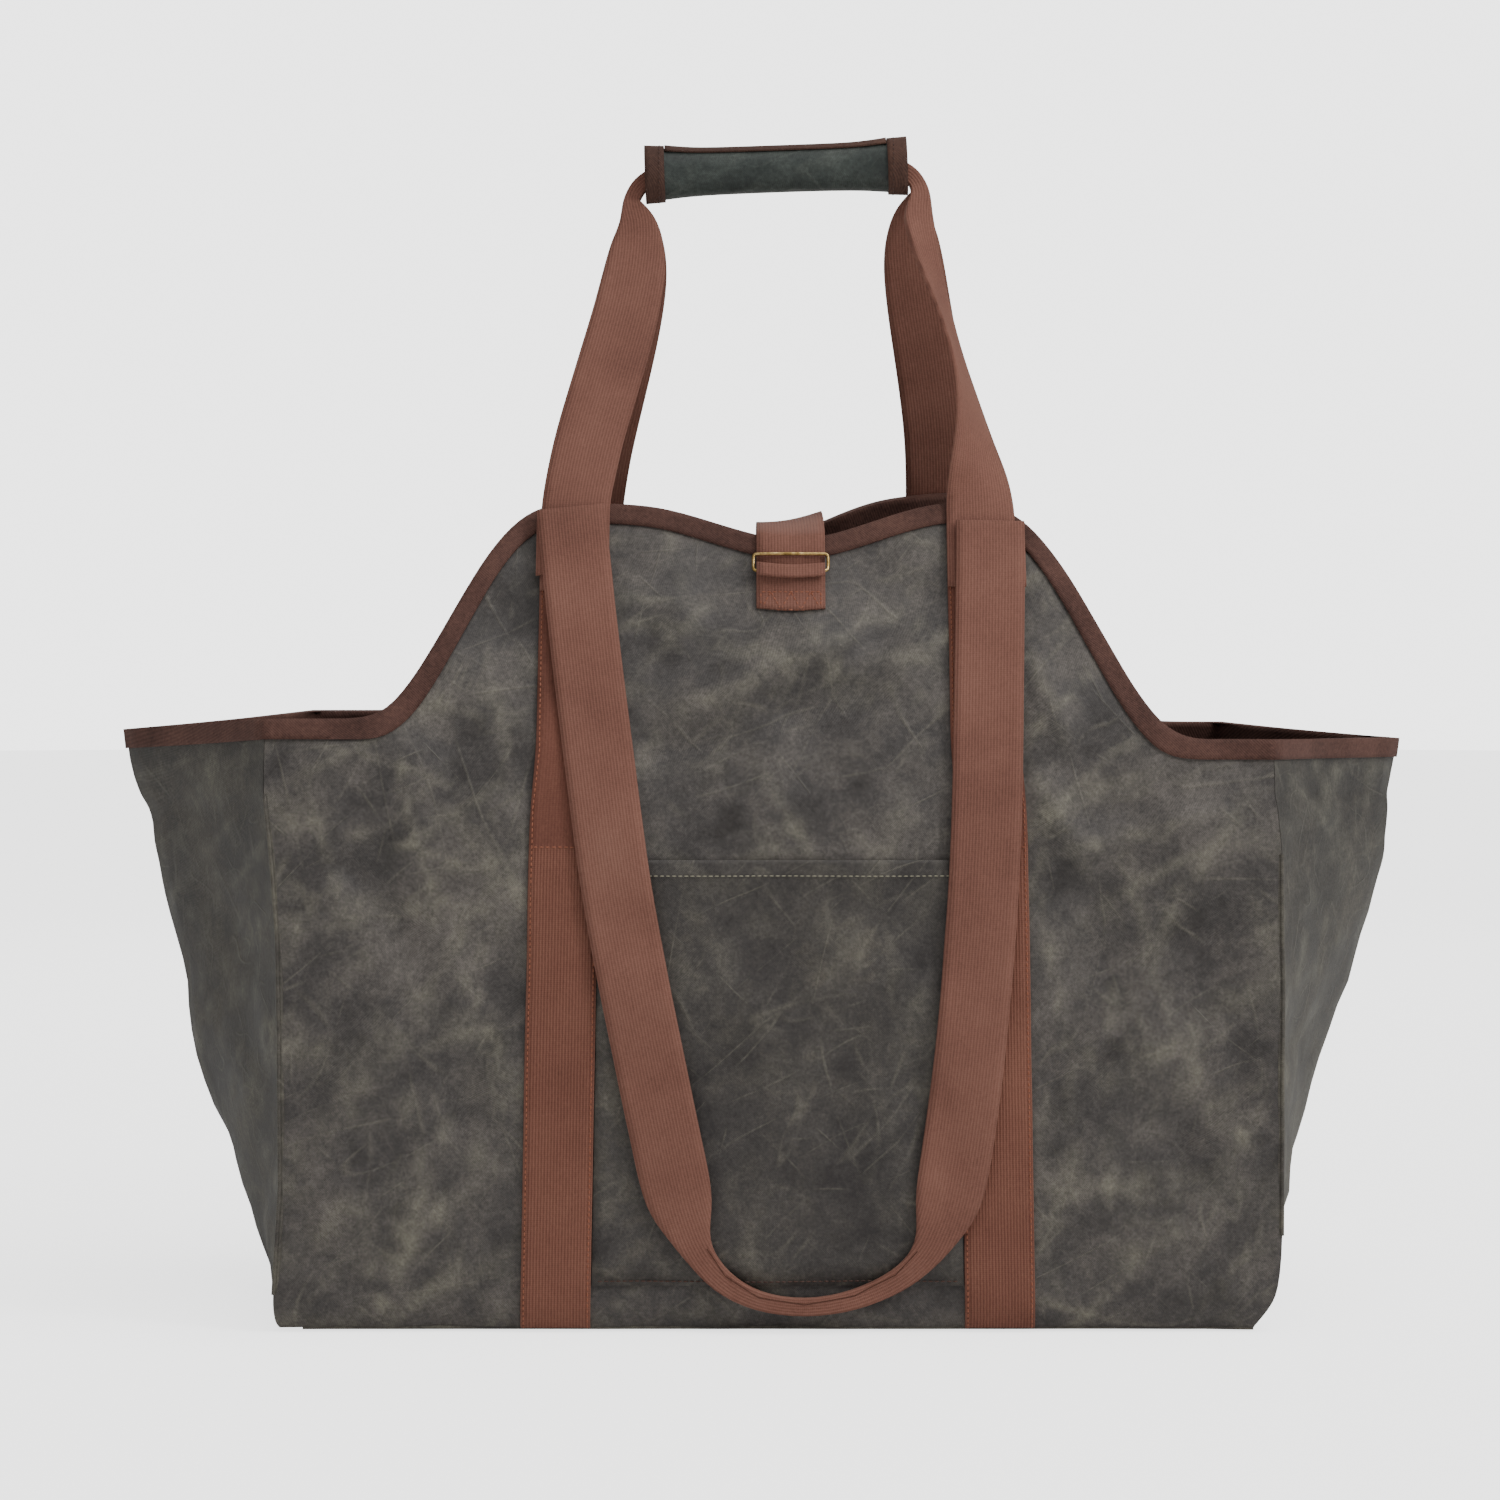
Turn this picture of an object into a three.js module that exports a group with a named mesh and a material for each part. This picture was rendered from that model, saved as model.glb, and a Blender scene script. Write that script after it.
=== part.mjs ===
import * as THREE from 'three';

// Canvas log carrier in millimetres, +Z up, front towards -Y.
// Heights are measured from the underside; the last lines move the origin into the grip.

// Canvas body
const panelWidth = 546;        // front and back panels, seam to seam
const bagDepth = 270;          // front panel to back panel, low down
const mouthDepth = 150;        // front rim to back rim at the peaks
const lowRimHeight = 328;      // rim at the end seams
const rimRowsDepth = 43;       // cloth rows follow the rim this far below its low ends
const peakHeight = 451;        // rim at the carry handles
const peakSpan = 224;          // between the two peaks of a panel
const slopeFootSpan = 448;     // between the feet of the two rim slopes
const slopeSkew = 1.25;        // above 1 the slope starts slowly at the peak
const centreDip = 21;          // rim below the peaks at the middle
const dipSpan = 180;           // width of that dip
const dipCentre = { front: 9, back: -22 };   // right of the middle
const gussetFlare = 90;        // gusset crease beyond the end seams, at the rim
const gussetBow = 5;           // gusset halves pulled in between seam and crease
const tipDrop = { left: 8, right: 4 };   // gusset rim lower at the crease than at the seams
const canvasWall = 2;
const seamGap = 0.18;          // each canvas edge stands back this much from its seam
const layerGap = 0.3;          // between cloth layers that lie on each other
const dentDepth = 5;           // deepest dent in the panels
const baseSag = 1.6;           // base canvas hangs this far between the straps

// Brown tape round the rim
const bindingDrop = 11;
const bindingTape = 1;

// Webbing
const webWidth = 38;
const webThickness = 1.6;
const strapSpanBase = 242;     // girth straps, centre to centre at the base
const tailLength = 48;         // handle ends sewn down below the rim
const foldRise = 1.4;          // top of a shoulder handle's fold above its tail
const tailOff = 4.05;          // tail's middle clear of the canvas, in webbing thicknesses

// Pocket on the front
const pocketBottom = 26;
const pocketTop = 257;
const hemHeight = 9;
const pocketCloth = 1.2;
const hemCloth = 2.2;

// Grip
const gripHeight = 645;        // centre of the grip above the underside
const gripLength = 148;
const gripTilt = 2;            // degrees, right end up
const gripFlatten = 0.85;      // depth of the grip as a share of its height
const gripCloth = 2.2;
const gripEndFlare = 3;        // the sleeve's radius grows this much at its ends
const gripBindingWidth = 10;
const gripEdgeWidth = 7;
const gripSides = 20;

// Closure
const tabCentre = 7.5;         // right of the middle
const tabHeight = 391;         // lower edge of the sewn tab
const tabSewn = 13;            // height of the sewn part
const ringSlack = 0.6;         // each side of the webbing inside the ring
const ringHeight = 12.6;
const ringWire = 2.2;
const ringCentreHeight = 416.2;
const closureTail = 45;        // sewn down the outside of the back panel
const archRise = 4;            // closure strap between the rims
const rimRoll = 8;             // it rounds each rim over this distance
const ringTuck = 6;            // it passes from the ring's top bar to the canvas in this height

// Colours by eye
const colours = {
  canvas: 0x55534c,
  webbing: 0x7b5247,
  binding: 0x4b2f2a,
  grip: 0x3f4640,
  brass: 0x8d7343,
};

// How far a panel stands out from the middle plane: height as a share of peakHeight,
// swell as a share of half the bag's depth, lean from there to half the mouth's depth.
const sideProfile = [
  { height: 0, swell: 0.915, lean: 0 },
  { height: 0.012, swell: 0.965, lean: 0 },
  { height: 0.03, swell: 0.99, lean: 0 },
  { height: 0.1, swell: 1, lean: 0 },
  { height: 0.35, swell: 1.04, lean: 0 },
  { height: 0.55, swell: 1.03, lean: 0 },
  { height: 0.72, swell: 0.965, lean: 0 },
  { height: 0.82, swell: 0.965, lean: 0.3 },
  { height: 0.91, swell: 0.965, lean: 0.67 },
  { height: 1, swell: 0.965, lean: 1 },
  { height: 1.06, swell: 0.965, lean: 1.2 },
];

// End seams, seen from the front: height as a share of lowRimHeight, left and right as
// shares of half the panel's width.
const seamLine = [
  { height: 0, left: 0.985, right: 0.945 },
  { height: 0.02, left: 1, right: 0.955 },
  { height: 0.07, left: 1, right: 0.998 },
  { height: 0.22, left: 0.985, right: 1 },
  { height: 0.6, left: 0.99, right: 1 },
  { height: 0.8, left: 1.005, right: 0.998 },
  { height: 1, left: 1.02, right: 0.987 },
];

// Gusset crease beyond the seam, as shares of gussetFlare
const creaseLine = [
  { height: 0, left: 0.08, right: 0.03 },
  { height: 0.05, left: 0.14, right: 0.04 },
  { height: 0.12, left: 0.33, right: 0.09 },
  { height: 0.26, left: 0.55, right: 0.3 },
  { height: 0.44, left: 0.71, right: 0.48 },
  { height: 0.69, left: 0.83, right: 0.78 },
  { height: 0.8, left: 0.9, right: 0.86 },
  { height: 1, left: 1.04, right: 0.96 },
];

// Each quarter of the rim hangs a few millimetres off the even shape. strapTop is where
// the strap's centre crosses the peak, as a share of half the peak span. shoulder and
// foot are the upper and lower ends of the slope, outwards.
const rimTrim = {
  front: {
    left: { low: 5, peak: 0, shoulder: 8, foot: -3, strapTop: 1 },
    right: { low: -6, peak: 1, shoulder: -2, foot: -2, strapTop: 1.01 },
  },
  back: {
    left: { low: 3, peak: -2, shoulder: 7, foot: -3, strapTop: 0.98 },
    right: { low: -4, peak: 10, shoulder: 0, foot: 0, strapTop: 0.86 },
  },
};

// Dents: across, length and reach as shares of half the panel's width, height as a share
// of peakHeight, turn in degrees from level, depth as a share of dentDepth.
const dents = {
  front: [
    { across: -0.72, height: 0.46, length: 0.3, reach: 0.14, turn: 62, depth: 0.9 },
    { across: 0.7, height: 0.5, length: 0.34, reach: 0.14, turn: -58, depth: 1 },
    { across: -0.66, height: 0.17, length: 0.24, reach: 0.13, turn: 18, depth: 0.7 },
    { across: 0.68, height: 0.2, length: 0.26, reach: 0.13, turn: -22, depth: 0.8 },
    { across: 0.1, height: 0.74, length: 0.3, reach: 0.15, turn: 8, depth: 0.6 },
    { across: -0.08, height: 0.34, length: 0.3, reach: 0.16, turn: -14, depth: -0.5 },
  ],
  back: [
    { across: -0.66, height: 0.42, length: 0.32, reach: 0.14, turn: 50, depth: 1 },
    { across: 0.74, height: 0.36, length: 0.3, reach: 0.14, turn: -64, depth: 0.8 },
    { across: 0.02, height: 0.55, length: 0.34, reach: 0.16, turn: -10, depth: 0.7 },
    { across: -0.1, height: 0.2, length: 0.3, reach: 0.14, turn: 12, depth: 0.6 },
  ],
};

// A carry handle from the rim to the grip. rise: rim to grip centre. inset: strap centre
// at the rim to the end of the grip. width and layers: of the webbing. twist in degrees.
const carryLeft = [
  { rise: 0.08, inset: 0.07, width: 1, layers: 1, twist: 0 },
  { rise: 0.19, inset: 0.18, width: 1, layers: 1, twist: 0 },
  { rise: 0.32, inset: 0.36, width: 1, layers: 1, twist: 0 },
  { rise: 0.45, inset: 0.54, width: 1, layers: 1, twist: 0 },
  { rise: 0.57, inset: 0.7, width: 0.98, layers: 1, twist: 0 },
  { rise: 0.7, inset: 0.83, width: 0.94, layers: 1, twist: 0 },
  { rise: 0.79, inset: 0.87, width: 0.8, layers: 1.3, twist: 0 },
  { rise: 0.86, inset: 0.87, width: 0.54, layers: 2, twist: 0 },
  { rise: 0.92, inset: 0.75, width: 0.26, layers: 2.6, twist: 0 },
  { rise: 0.962, inset: 0.86, width: 0.25, layers: 2.6, twist: 0 },
  { rise: 0.982, inset: 0.98, width: 0.25, layers: 2.6, twist: 0 },
  { rise: 0.993, inset: 1.14, width: 0.32, layers: 2.4, twist: 0 },
  { rise: 1, inset: 1.42, width: 0.46, layers: 2.1, twist: 0 },
  { rise: 1, inset: 1.9, width: 0.5, layers: 2, twist: 0 },
];
const carryRightFront = [
  { rise: 0.08, inset: 0.01, width: 1, layers: 1, twist: 30 },
  { rise: 0.19, inset: 0.04, width: 1, layers: 1, twist: 58 },
  { rise: 0.32, inset: 0.13, width: 1, layers: 1, twist: 74 },
  { rise: 0.45, inset: 0.3, width: 0.95, layers: 1, twist: 80 },
  { rise: 0.57, inset: 0.48, width: 0.75, layers: 1.3, twist: 74 },
  { rise: 0.7, inset: 0.67, width: 0.55, layers: 1.8, twist: 54 },
  { rise: 0.79, inset: 0.77, width: 0.5, layers: 2, twist: 34 },
  { rise: 0.86, inset: 0.82, width: 0.44, layers: 2.2, twist: 16 },
  { rise: 0.92, inset: 0.75, width: 0.26, layers: 2.6, twist: 4 },
  { rise: 0.962, inset: 0.86, width: 0.25, layers: 2.6, twist: 0 },
  { rise: 0.982, inset: 0.98, width: 0.25, layers: 2.6, twist: 0 },
  { rise: 0.993, inset: 1.14, width: 0.32, layers: 2.4, twist: 0 },
  { rise: 1, inset: 1.42, width: 0.46, layers: 2.1, twist: 0 },
  { rise: 1, inset: 1.9, width: 0.5, layers: 2, twist: 0 },
];

// A shoulder handle from its left fold down to the middle and up to its right fold.
// across: share of half the peak span. height: share of peakHeight. off: clear of the
// canvas, in webbing thicknesses.
const shoulderRoute = [
  { across: -1.02, height: 0.985, width: 1, layers: 1, off: 5.4 },
  { across: -0.985, height: 0.91, width: 1, layers: 1, off: 5 },
  { across: -0.94, height: 0.82, width: 1, layers: 1, off: 4.4 },
  { across: -0.86, height: 0.68, width: 1, layers: 1, off: 3.9 },
  { across: -0.78, height: 0.53, width: 1, layers: 1, off: 3.9 },
  { across: -0.7, height: 0.43, width: 1, layers: 1, off: 3.9 },
  { across: -0.6, height: 0.31, width: 1, layers: 1, off: 3.9 },
  { across: -0.53, height: 0.225, width: 1, layers: 1, off: 3.9 },
  { across: -0.475, height: 0.16, width: 1, layers: 1, off: 3.9 },
  { across: -0.43, height: 0.126, width: 0.64, layers: 1.5, off: 3.9 },
  { across: -0.385, height: 0.098, width: 0.4, layers: 2, off: 3.9 },
  { across: -0.28, height: 0.064, width: 0.34, layers: 2, off: 3.9 },
  { across: -0.1, height: 0.04, width: 0.27, layers: 2, off: 3.9 },
  { across: 0.13, height: 0.032, width: 0.25, layers: 2, off: 3.9 },
  { across: 0.38, height: 0.041, width: 0.27, layers: 2, off: 3.9 },
  { across: 0.59, height: 0.064, width: 0.33, layers: 2, off: 3.9 },
  { across: 0.715, height: 0.094, width: 0.4, layers: 2, off: 3.9 },
  { across: 0.775, height: 0.124, width: 0.64, layers: 1.5, off: 3.9 },
  { across: 0.825, height: 0.16, width: 1, layers: 1, off: 3.9 },
  { across: 0.875, height: 0.235, width: 1, layers: 1, off: 3.9 },
  { across: 0.925, height: 0.33, width: 1, layers: 1, off: 3.9 },
  { across: 0.97, height: 0.45, width: 1, layers: 1, off: 3.9 },
  { across: 1, height: 0.56, width: 1, layers: 1, off: 3.9 },
  { across: 1.02, height: 0.69, width: 1, layers: 1, off: 3.9 },
  { across: 1.035, height: 0.82, width: 1, layers: 1, off: 4.4 },
  { across: 1.05, height: 0.91, width: 1, layers: 1, off: 5 },
  { across: 1.055, height: 0.968, width: 1, layers: 1, off: 5.4 },
];

// Small maths

const vector = (x, y, z) => new THREE.Vector3(x, y, z);
const mix = (from, to, share) => from + (to - from) * share;
const clampShare = (share) => Math.min(1, Math.max(0, share));
const radians = (degrees) => (degrees * Math.PI) / 180;

function ease(share) {
  const inside = clampShare(share);
  return inside * inside * (3 - 2 * inside);
}

// One column of a table at a place between its rows, on a smooth curve through the rows
function tableAt(table, key, column, place) {
  const last = table.length - 1;
  const inside = Math.min(table[last][key], Math.max(table[0][key], place));
  let row = 0;
  while (row < last - 1 && inside > table[row + 1][key]) {
    row += 1;
  }
  const span = table[row + 1][key] - table[row][key];
  const share = (inside - table[row][key]) / span;
  const slope = (index) => {
    const before = table[Math.max(0, index - 1)];
    const after = table[Math.min(last, index + 1)];
    return (after[column] - before[column]) / (after[key] - before[key]);
  };
  const start = table[row][column];
  const end = table[row + 1][column];
  const startSlope = slope(row) * span;
  const endSlope = slope(row + 1) * span;
  const square = share * share;
  const cube = square * share;
  return (2 * cube - 3 * square + 1) * start + (cube - 2 * square + share) * startSlope
    + (3 * square - 2 * cube) * end + (cube - square) * endSlope;
}

// Solids from grids of points

function meshSolid(positions, faces) {
  let volume = 0;
  const corner = [vector(0, 0, 0), vector(0, 0, 0), vector(0, 0, 0)];
  for (let face = 0; face < faces.length; face += 3) {
    corner.forEach((point, index) => point.fromArray(positions, 3 * faces[face + index]));
    volume += corner[0].dot(corner[1].clone().cross(corner[2]));
  }
  if (volume < 0) {
    faces.reverse();
  }
  const geometry = new THREE.BufferGeometry();
  geometry.setAttribute('position', new THREE.Float32BufferAttribute(positions, 3));
  geometry.setIndex(faces);
  geometry.computeVertexNormals();
  return geometry;
}

// Normals of a grid, long enough at a fold that both faces are offset by the same amount.
// A closed grid joins its last column to its first.
function gridNormals(points, closed = false) {
  const rows = points.length;
  const columns = points[0].length;
  const cellNormal = (row, column) => {
    const next = (column + 1) % columns;
    const across = points[row][next].clone().sub(points[row][column])
      .add(points[row + 1][next]).sub(points[row + 1][column]);
    const up = points[row + 1][column].clone().sub(points[row][column])
      .add(points[row + 1][next]).sub(points[row][next]);
    return across.cross(up).normalize();
  };
  return points.map((line, row) => line.map((point, column) => {
    const around = [];
    for (const cellRow of [row - 1, row]) {
      for (const cellColumn of [column - 1, column]) {
        const wrapped = closed ? (cellColumn + columns) % columns : cellColumn;
        const inColumns = closed || (wrapped >= 0 && wrapped < columns - 1);
        if (cellRow >= 0 && cellRow < rows - 1 && inColumns) {
          around.push(cellNormal(cellRow, wrapped));
        }
      }
    }
    const normal = vector(0, 0, 0);
    around.forEach((one) => normal.add(one));
    normal.normalize();
    const least = Math.min(...around.map((one) => one.dot(normal)));
    return normal.divideScalar(Math.max(0.6, least));
  }));
}

// A wall between two offsets from a grid, either of which may change from row to row
function wallSolid(grid, near, far) {
  const rows = grid.points.length;
  const columns = grid.points[0].length;
  const positions = [];
  for (const offset of [near, far]) {
    for (let row = 0; row < rows; row += 1) {
      const distance = typeof offset === 'function' ? offset(row) : offset;
      for (let column = 0; column < columns; column += 1) {
        const point = grid.points[row][column].clone();
        point.addScaledVector(grid.normals[row][column], distance);
        positions.push(...point.toArray());
      }
    }
  }
  const at = (layer, row, column) => (layer * rows + row) * columns + column;
  const faces = [];
  const quad = (a, b, c, d) => faces.push(a, b, c, a, c, d);
  const top = rows - 1;
  const end = columns - 1;
  for (let row = 0; row < top; row += 1) {
    for (let column = 0; column < end; column += 1) {
      quad(at(1, row, column), at(1, row, column + 1), at(1, row + 1, column + 1), at(1, row + 1, column));
      quad(at(0, row, column), at(0, row + 1, column), at(0, row + 1, column + 1), at(0, row, column + 1));
    }
    quad(at(1, row, 0), at(1, row + 1, 0), at(0, row + 1, 0), at(0, row, 0));
    quad(at(0, row, end), at(0, row + 1, end), at(1, row + 1, end), at(1, row, end));
  }
  for (let column = 0; column < end; column += 1) {
    quad(at(0, 0, column), at(0, 0, column + 1), at(1, 0, column + 1), at(1, 0, column));
    quad(at(1, top, column), at(1, top, column + 1), at(0, top, column + 1), at(0, top, column));
  }
  return meshSolid(positions, faces);
}

// A closed section carried round a closed path. Each quad is cut along its diagonal from
// here to the next section, or for the sides listed as crossed along the other one.
function loopSolid(sections, crossed = []) {
  const count = sections[0].length;
  const positions = sections.flatMap((section) => section.flatMap((point) => point.toArray()));
  const faces = [];
  sections.forEach((section, index) => {
    const here = index * count;
    const next = ((index + 1) % sections.length) * count;
    for (let side = 0; side < count; side += 1) {
      const other = (side + 1) % count;
      if (crossed.includes(side)) {
        faces.push(here + side, next + side, here + other);
        faces.push(next + side, next + other, here + other);
      } else {
        faces.push(here + side, next + side, next + other);
        faces.push(here + side, next + other, here + other);
      }
    }
  });
  return meshSolid(positions, faces);
}

// A line of the grid between two of its rows or columns
function blendLine(from, to, share) {
  return from.map((point, index) => point.clone().lerp(to[index], share));
}

// A copy of a grid whose edge rows and columns are moved in by a length along the cloth
function trimGrid(grid, { left = 0, right = 0, bottom = 0, top = 0 }) {
  const points = grid.points.map((line) => line.map((point) => point.clone()));
  const normals = grid.normals.map((line) => line.map((normal) => normal.clone()));
  const shift = (rowA, columnA, rowB, columnB, length) => {
    const from = grid.points[rowA][columnA];
    const share = length / from.distanceTo(grid.points[rowB][columnB]);
    points[rowA][columnA].lerp(points[rowB][columnB], share);
    normals[rowA][columnA].lerp(normals[rowB][columnB], share);
  };
  const lastRow = points.length - 1;
  const lastColumn = points[0].length - 1;
  points.forEach((line, row) => {
    if (left > 0) shift(row, 0, row, 1, left);
    if (right > 0) shift(row, lastColumn, row, lastColumn - 1, right);
  });
  points[0].forEach((point, column) => {
    if (bottom > 0) shift(0, column, 1, column, bottom);
    if (top > 0) shift(lastRow, column, lastRow - 1, column, top);
  });
  return { points, normals };
}

// Shape of the body

const clothHalf = canvasWall / 2;
const onCanvas = clothHalf + layerGap;               // first layer on the canvas starts here
const onStrap = onCanvas + webThickness + layerGap;  // second layer
const bindingOut = onCanvas + bindingTape;
const baseHeight = onCanvas + webThickness + 0.1;    // middle of the base canvas
const peakHalf = peakSpan / 2;

function rimHeight(panel, x) {
  const trim = rimTrim[panel][x < 0 ? 'left' : 'right'];
  const out = Math.abs(x);
  const peakAt = peakHalf + trim.shoulder;
  const footAt = slopeFootSpan / 2 + trim.foot;
  const fromDip = Math.abs(x - dipCentre[panel]);
  const dip = centreDip * (1 - ease(fromDip / (dipSpan / 2)));
  const crown = peakHeight + trim.peak * ease(out / peakAt) - dip;
  const along = clampShare((out - peakAt) / (footAt - peakAt));
  return mix(crown, lowRimHeight + trim.low, ease(along ** slopeSkew));
}

function dentAt(panel, x, height) {
  const half = panelWidth / 2;
  return dents[panel].reduce((sum, dent) => {
    const dx = x - dent.across * half;
    const dz = height - dent.height * peakHeight;
    const turn = radians(dent.turn);
    const along = (dx * Math.cos(turn) + dz * Math.sin(turn)) / (dent.length * half);
    const beside = (dz * Math.cos(turn) - dx * Math.sin(turn)) / (dent.reach * half);
    return sum + dent.depth * dentDepth * Math.exp(-along * along - beside * beside);
  }, 0);
}

// How far the middle of a panel's canvas stands from the middle plane of the bag
function panelOut(panel, x, height) {
  const share = height / peakHeight;
  const swell = tableAt(sideProfile, 'height', 'swell', share);
  const lean = tableAt(sideProfile, 'height', 'lean', share);
  return mix((bagDepth / 2) * swell, mouthDepth / 2, lean) - dentAt(panel, x, height);
}

const outward = { front: -1, back: 1 };

// Columns of a panel run between upright lines: seams, strap edges and tab edges
const columnZones = [
  { from: 'leftSeam', to: 'leftStrapOuter', cells: 9 },
  { from: 'leftStrapOuter', to: 'leftStrapInner', cells: 2 },
  { from: 'leftStrapInner', to: 'tabLeft', cells: 3 },
  { from: 'tabLeft', to: 'tabRight', cells: 2 },
  { from: 'tabRight', to: 'rightStrapInner', cells: 3 },
  { from: 'rightStrapInner', to: 'rightStrapOuter', cells: 2 },
  { from: 'rightStrapOuter', to: 'rightSeam', cells: 9 },
];

function lineX(panel, line, height) {
  const half = panelWidth / 2;
  const low = height / lowRimHeight;
  const strapAt = (side) => {
    const top = peakHalf * rimTrim[panel][side].strapTop;
    return mix(strapSpanBase / 2, top, clampShare(height / peakHeight));
  };
  const lines = {
    leftSeam: () => -half * tableAt(seamLine, 'height', 'left', low),
    leftStrapOuter: () => -strapAt('left') - webWidth / 2,
    leftStrapInner: () => -strapAt('left') + webWidth / 2,
    tabLeft: () => tabCentre - webWidth / 2,
    tabRight: () => tabCentre + webWidth / 2,
    rightStrapInner: () => strapAt('right') - webWidth / 2,
    rightStrapOuter: () => strapAt('right') + webWidth / 2,
    rightSeam: () => half * tableAt(seamLine, 'height', 'right', low),
  };
  return lines[line]();
}

const panelColumns = columnZones.flatMap((zone, index) => {
  const first = index === 0 ? 0 : 1;
  const shares = [];
  for (let cell = first; cell <= zone.cells; cell += 1) {
    shares.push({ ...zone, share: cell / zone.cells });
  }
  return shares;
});

function columnX(panel, column, height) {
  const { from, to, share } = panelColumns[column];
  return mix(lineX(panel, from, height), lineX(panel, to, height), share);
}

function columnAt(line) {
  return panelColumns.findIndex((column) => column.to === line && column.share === 1);
}

const strapColumns = {
  left: [columnAt('leftStrapOuter'), columnAt('leftStrapInner')],
  right: [columnAt('rightStrapInner'), columnAt('rightStrapOuter')],
};
const tabColumns = [columnAt('tabLeft'), columnAt('tabRight')];
const lastColumn = panelColumns.length - 1;

// Rows are level up to levelTop and then follow the rim
const levelTop = lowRimHeight - rimRowsDepth;
const levelRows = [
  baseHeight,
  baseHeight + 2.5,
  (baseHeight + pocketBottom) / 2,
  pocketBottom,
  mix(pocketBottom, pocketTop, 0.23),
  mix(pocketBottom, pocketTop, 0.48),
  mix(pocketBottom, pocketTop, 0.73),
  pocketTop - hemHeight,
  pocketTop,
  levelTop,
];
const risingCells = 5;
const hemRow = levelRows.indexOf(pocketTop - hemHeight);
const pocketRows = [levelRows.indexOf(pocketBottom), levelRows.indexOf(pocketTop)];
const rimRow = levelRows.length + risingCells;

// Height of a row where the rim is at a given height and slopes by a given amount
function rowHeight(row, rim, slope) {
  if (row < levelRows.length) {
    return levelRows[row];
  }
  const bindingEdge = rim - bindingDrop * Math.hypot(1, slope);
  const share = (row - levelRows.length + 1) / risingCells;
  return row === rimRow ? rim : mix(levelTop, bindingEdge, share);
}

function panelPoints(panel) {
  const rows = [];
  for (let row = 0; row <= rimRow; row += 1) {
    rows.push(panelColumns.map((zone, column) => {
      const xRim = columnX(panel, column, peakHeight);
      const rim = rimHeight(panel, xRim);
      const slope = (rimHeight(panel, xRim + 2) - rimHeight(panel, xRim - 2)) / 4;
      const height = rowHeight(row, rim, slope);
      const x = columnX(panel, column, row < levelRows.length ? height : peakHeight);
      return vector(x, outward[panel] * panelOut(panel, x, height), height);
    }));
  }
  return rows;
}

// Columns between the front seam and the back seam of one gusset
const gussetCells = 6;

function gussetPoints(side, frontSeam, backSeam) {
  return frontSeam.map((front, row) => {
    const back = backSeam[row];
    const sign = side === 'left' ? -1 : 1;
    const low = (front.z + back.z) / 2 / lowRimHeight;
    const flare = gussetFlare * tableAt(creaseLine, 'height', side, low);
    const drop = tipDrop[side] * ease(2 * low - 1);
    const seamX = (front.x + back.x) / 2;
    const crease = vector(seamX + sign * flare, 0, (front.z + back.z) / 2 - drop);
    const line = [];
    for (let cell = 1; cell < gussetCells; cell += 1) {
      const place = (2 * cell) / gussetCells;
      const seam = place < 1 ? front : back;
      const share = place < 1 ? place : 2 - place;
      const point = seam.clone().lerp(crease, share);
      point.x -= sign * gussetBow * ease(low) * Math.sin(Math.PI * share);
      line.push(point);
    }
    return line;
  });
}

// The whole wall of the bag as one closed grid: front, right gusset, back, left gusset
const frontPoints = panelPoints('front');
const backPoints = panelPoints('back');
const seamOf = (points, column) => points.map((line) => line[column]);
const rightPoints = gussetPoints('right', seamOf(frontPoints, lastColumn), seamOf(backPoints, lastColumn));
const leftPoints = gussetPoints('left', seamOf(frontPoints, 0), seamOf(backPoints, 0));
const wallPoints = frontPoints.map((line, row) => [
  ...line,
  ...rightPoints[row],
  ...[...backPoints[row]].reverse(),
  ...[...leftPoints[row]].reverse(),
]);
const underRing = wallPoints[0].map((point) => vector(point.x * 0.9, point.y * 0.9, point.z));
const wallNormals = gridNormals([underRing, ...wallPoints], true).slice(1);
const wallColumns = wallPoints[0].length;
const backColumn = (column) => 2 * lastColumn + gussetCells - column;

// Part of the wall, from a list of its columns and a range of its rows
function wallGrid(columns, firstRow = 0, lastRow = rimRow) {
  const pick = (lines) => lines.slice(firstRow, lastRow + 1)
    .map((line) => columns.map((column) => line[column % wallColumns].clone()));
  return { points: pick(wallPoints), normals: pick(wallNormals) };
}

const columnRange = (first, last) => Array.from({ length: last - first + 1 }, (none, index) => first + index);

// Columns of a panel, left to right as seen from the front, as columns of the wall
function panelRange(panel, first, last) {
  const range = columnRange(first, last);
  return panel === 'front' ? range : range.map(backColumn);
}

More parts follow.
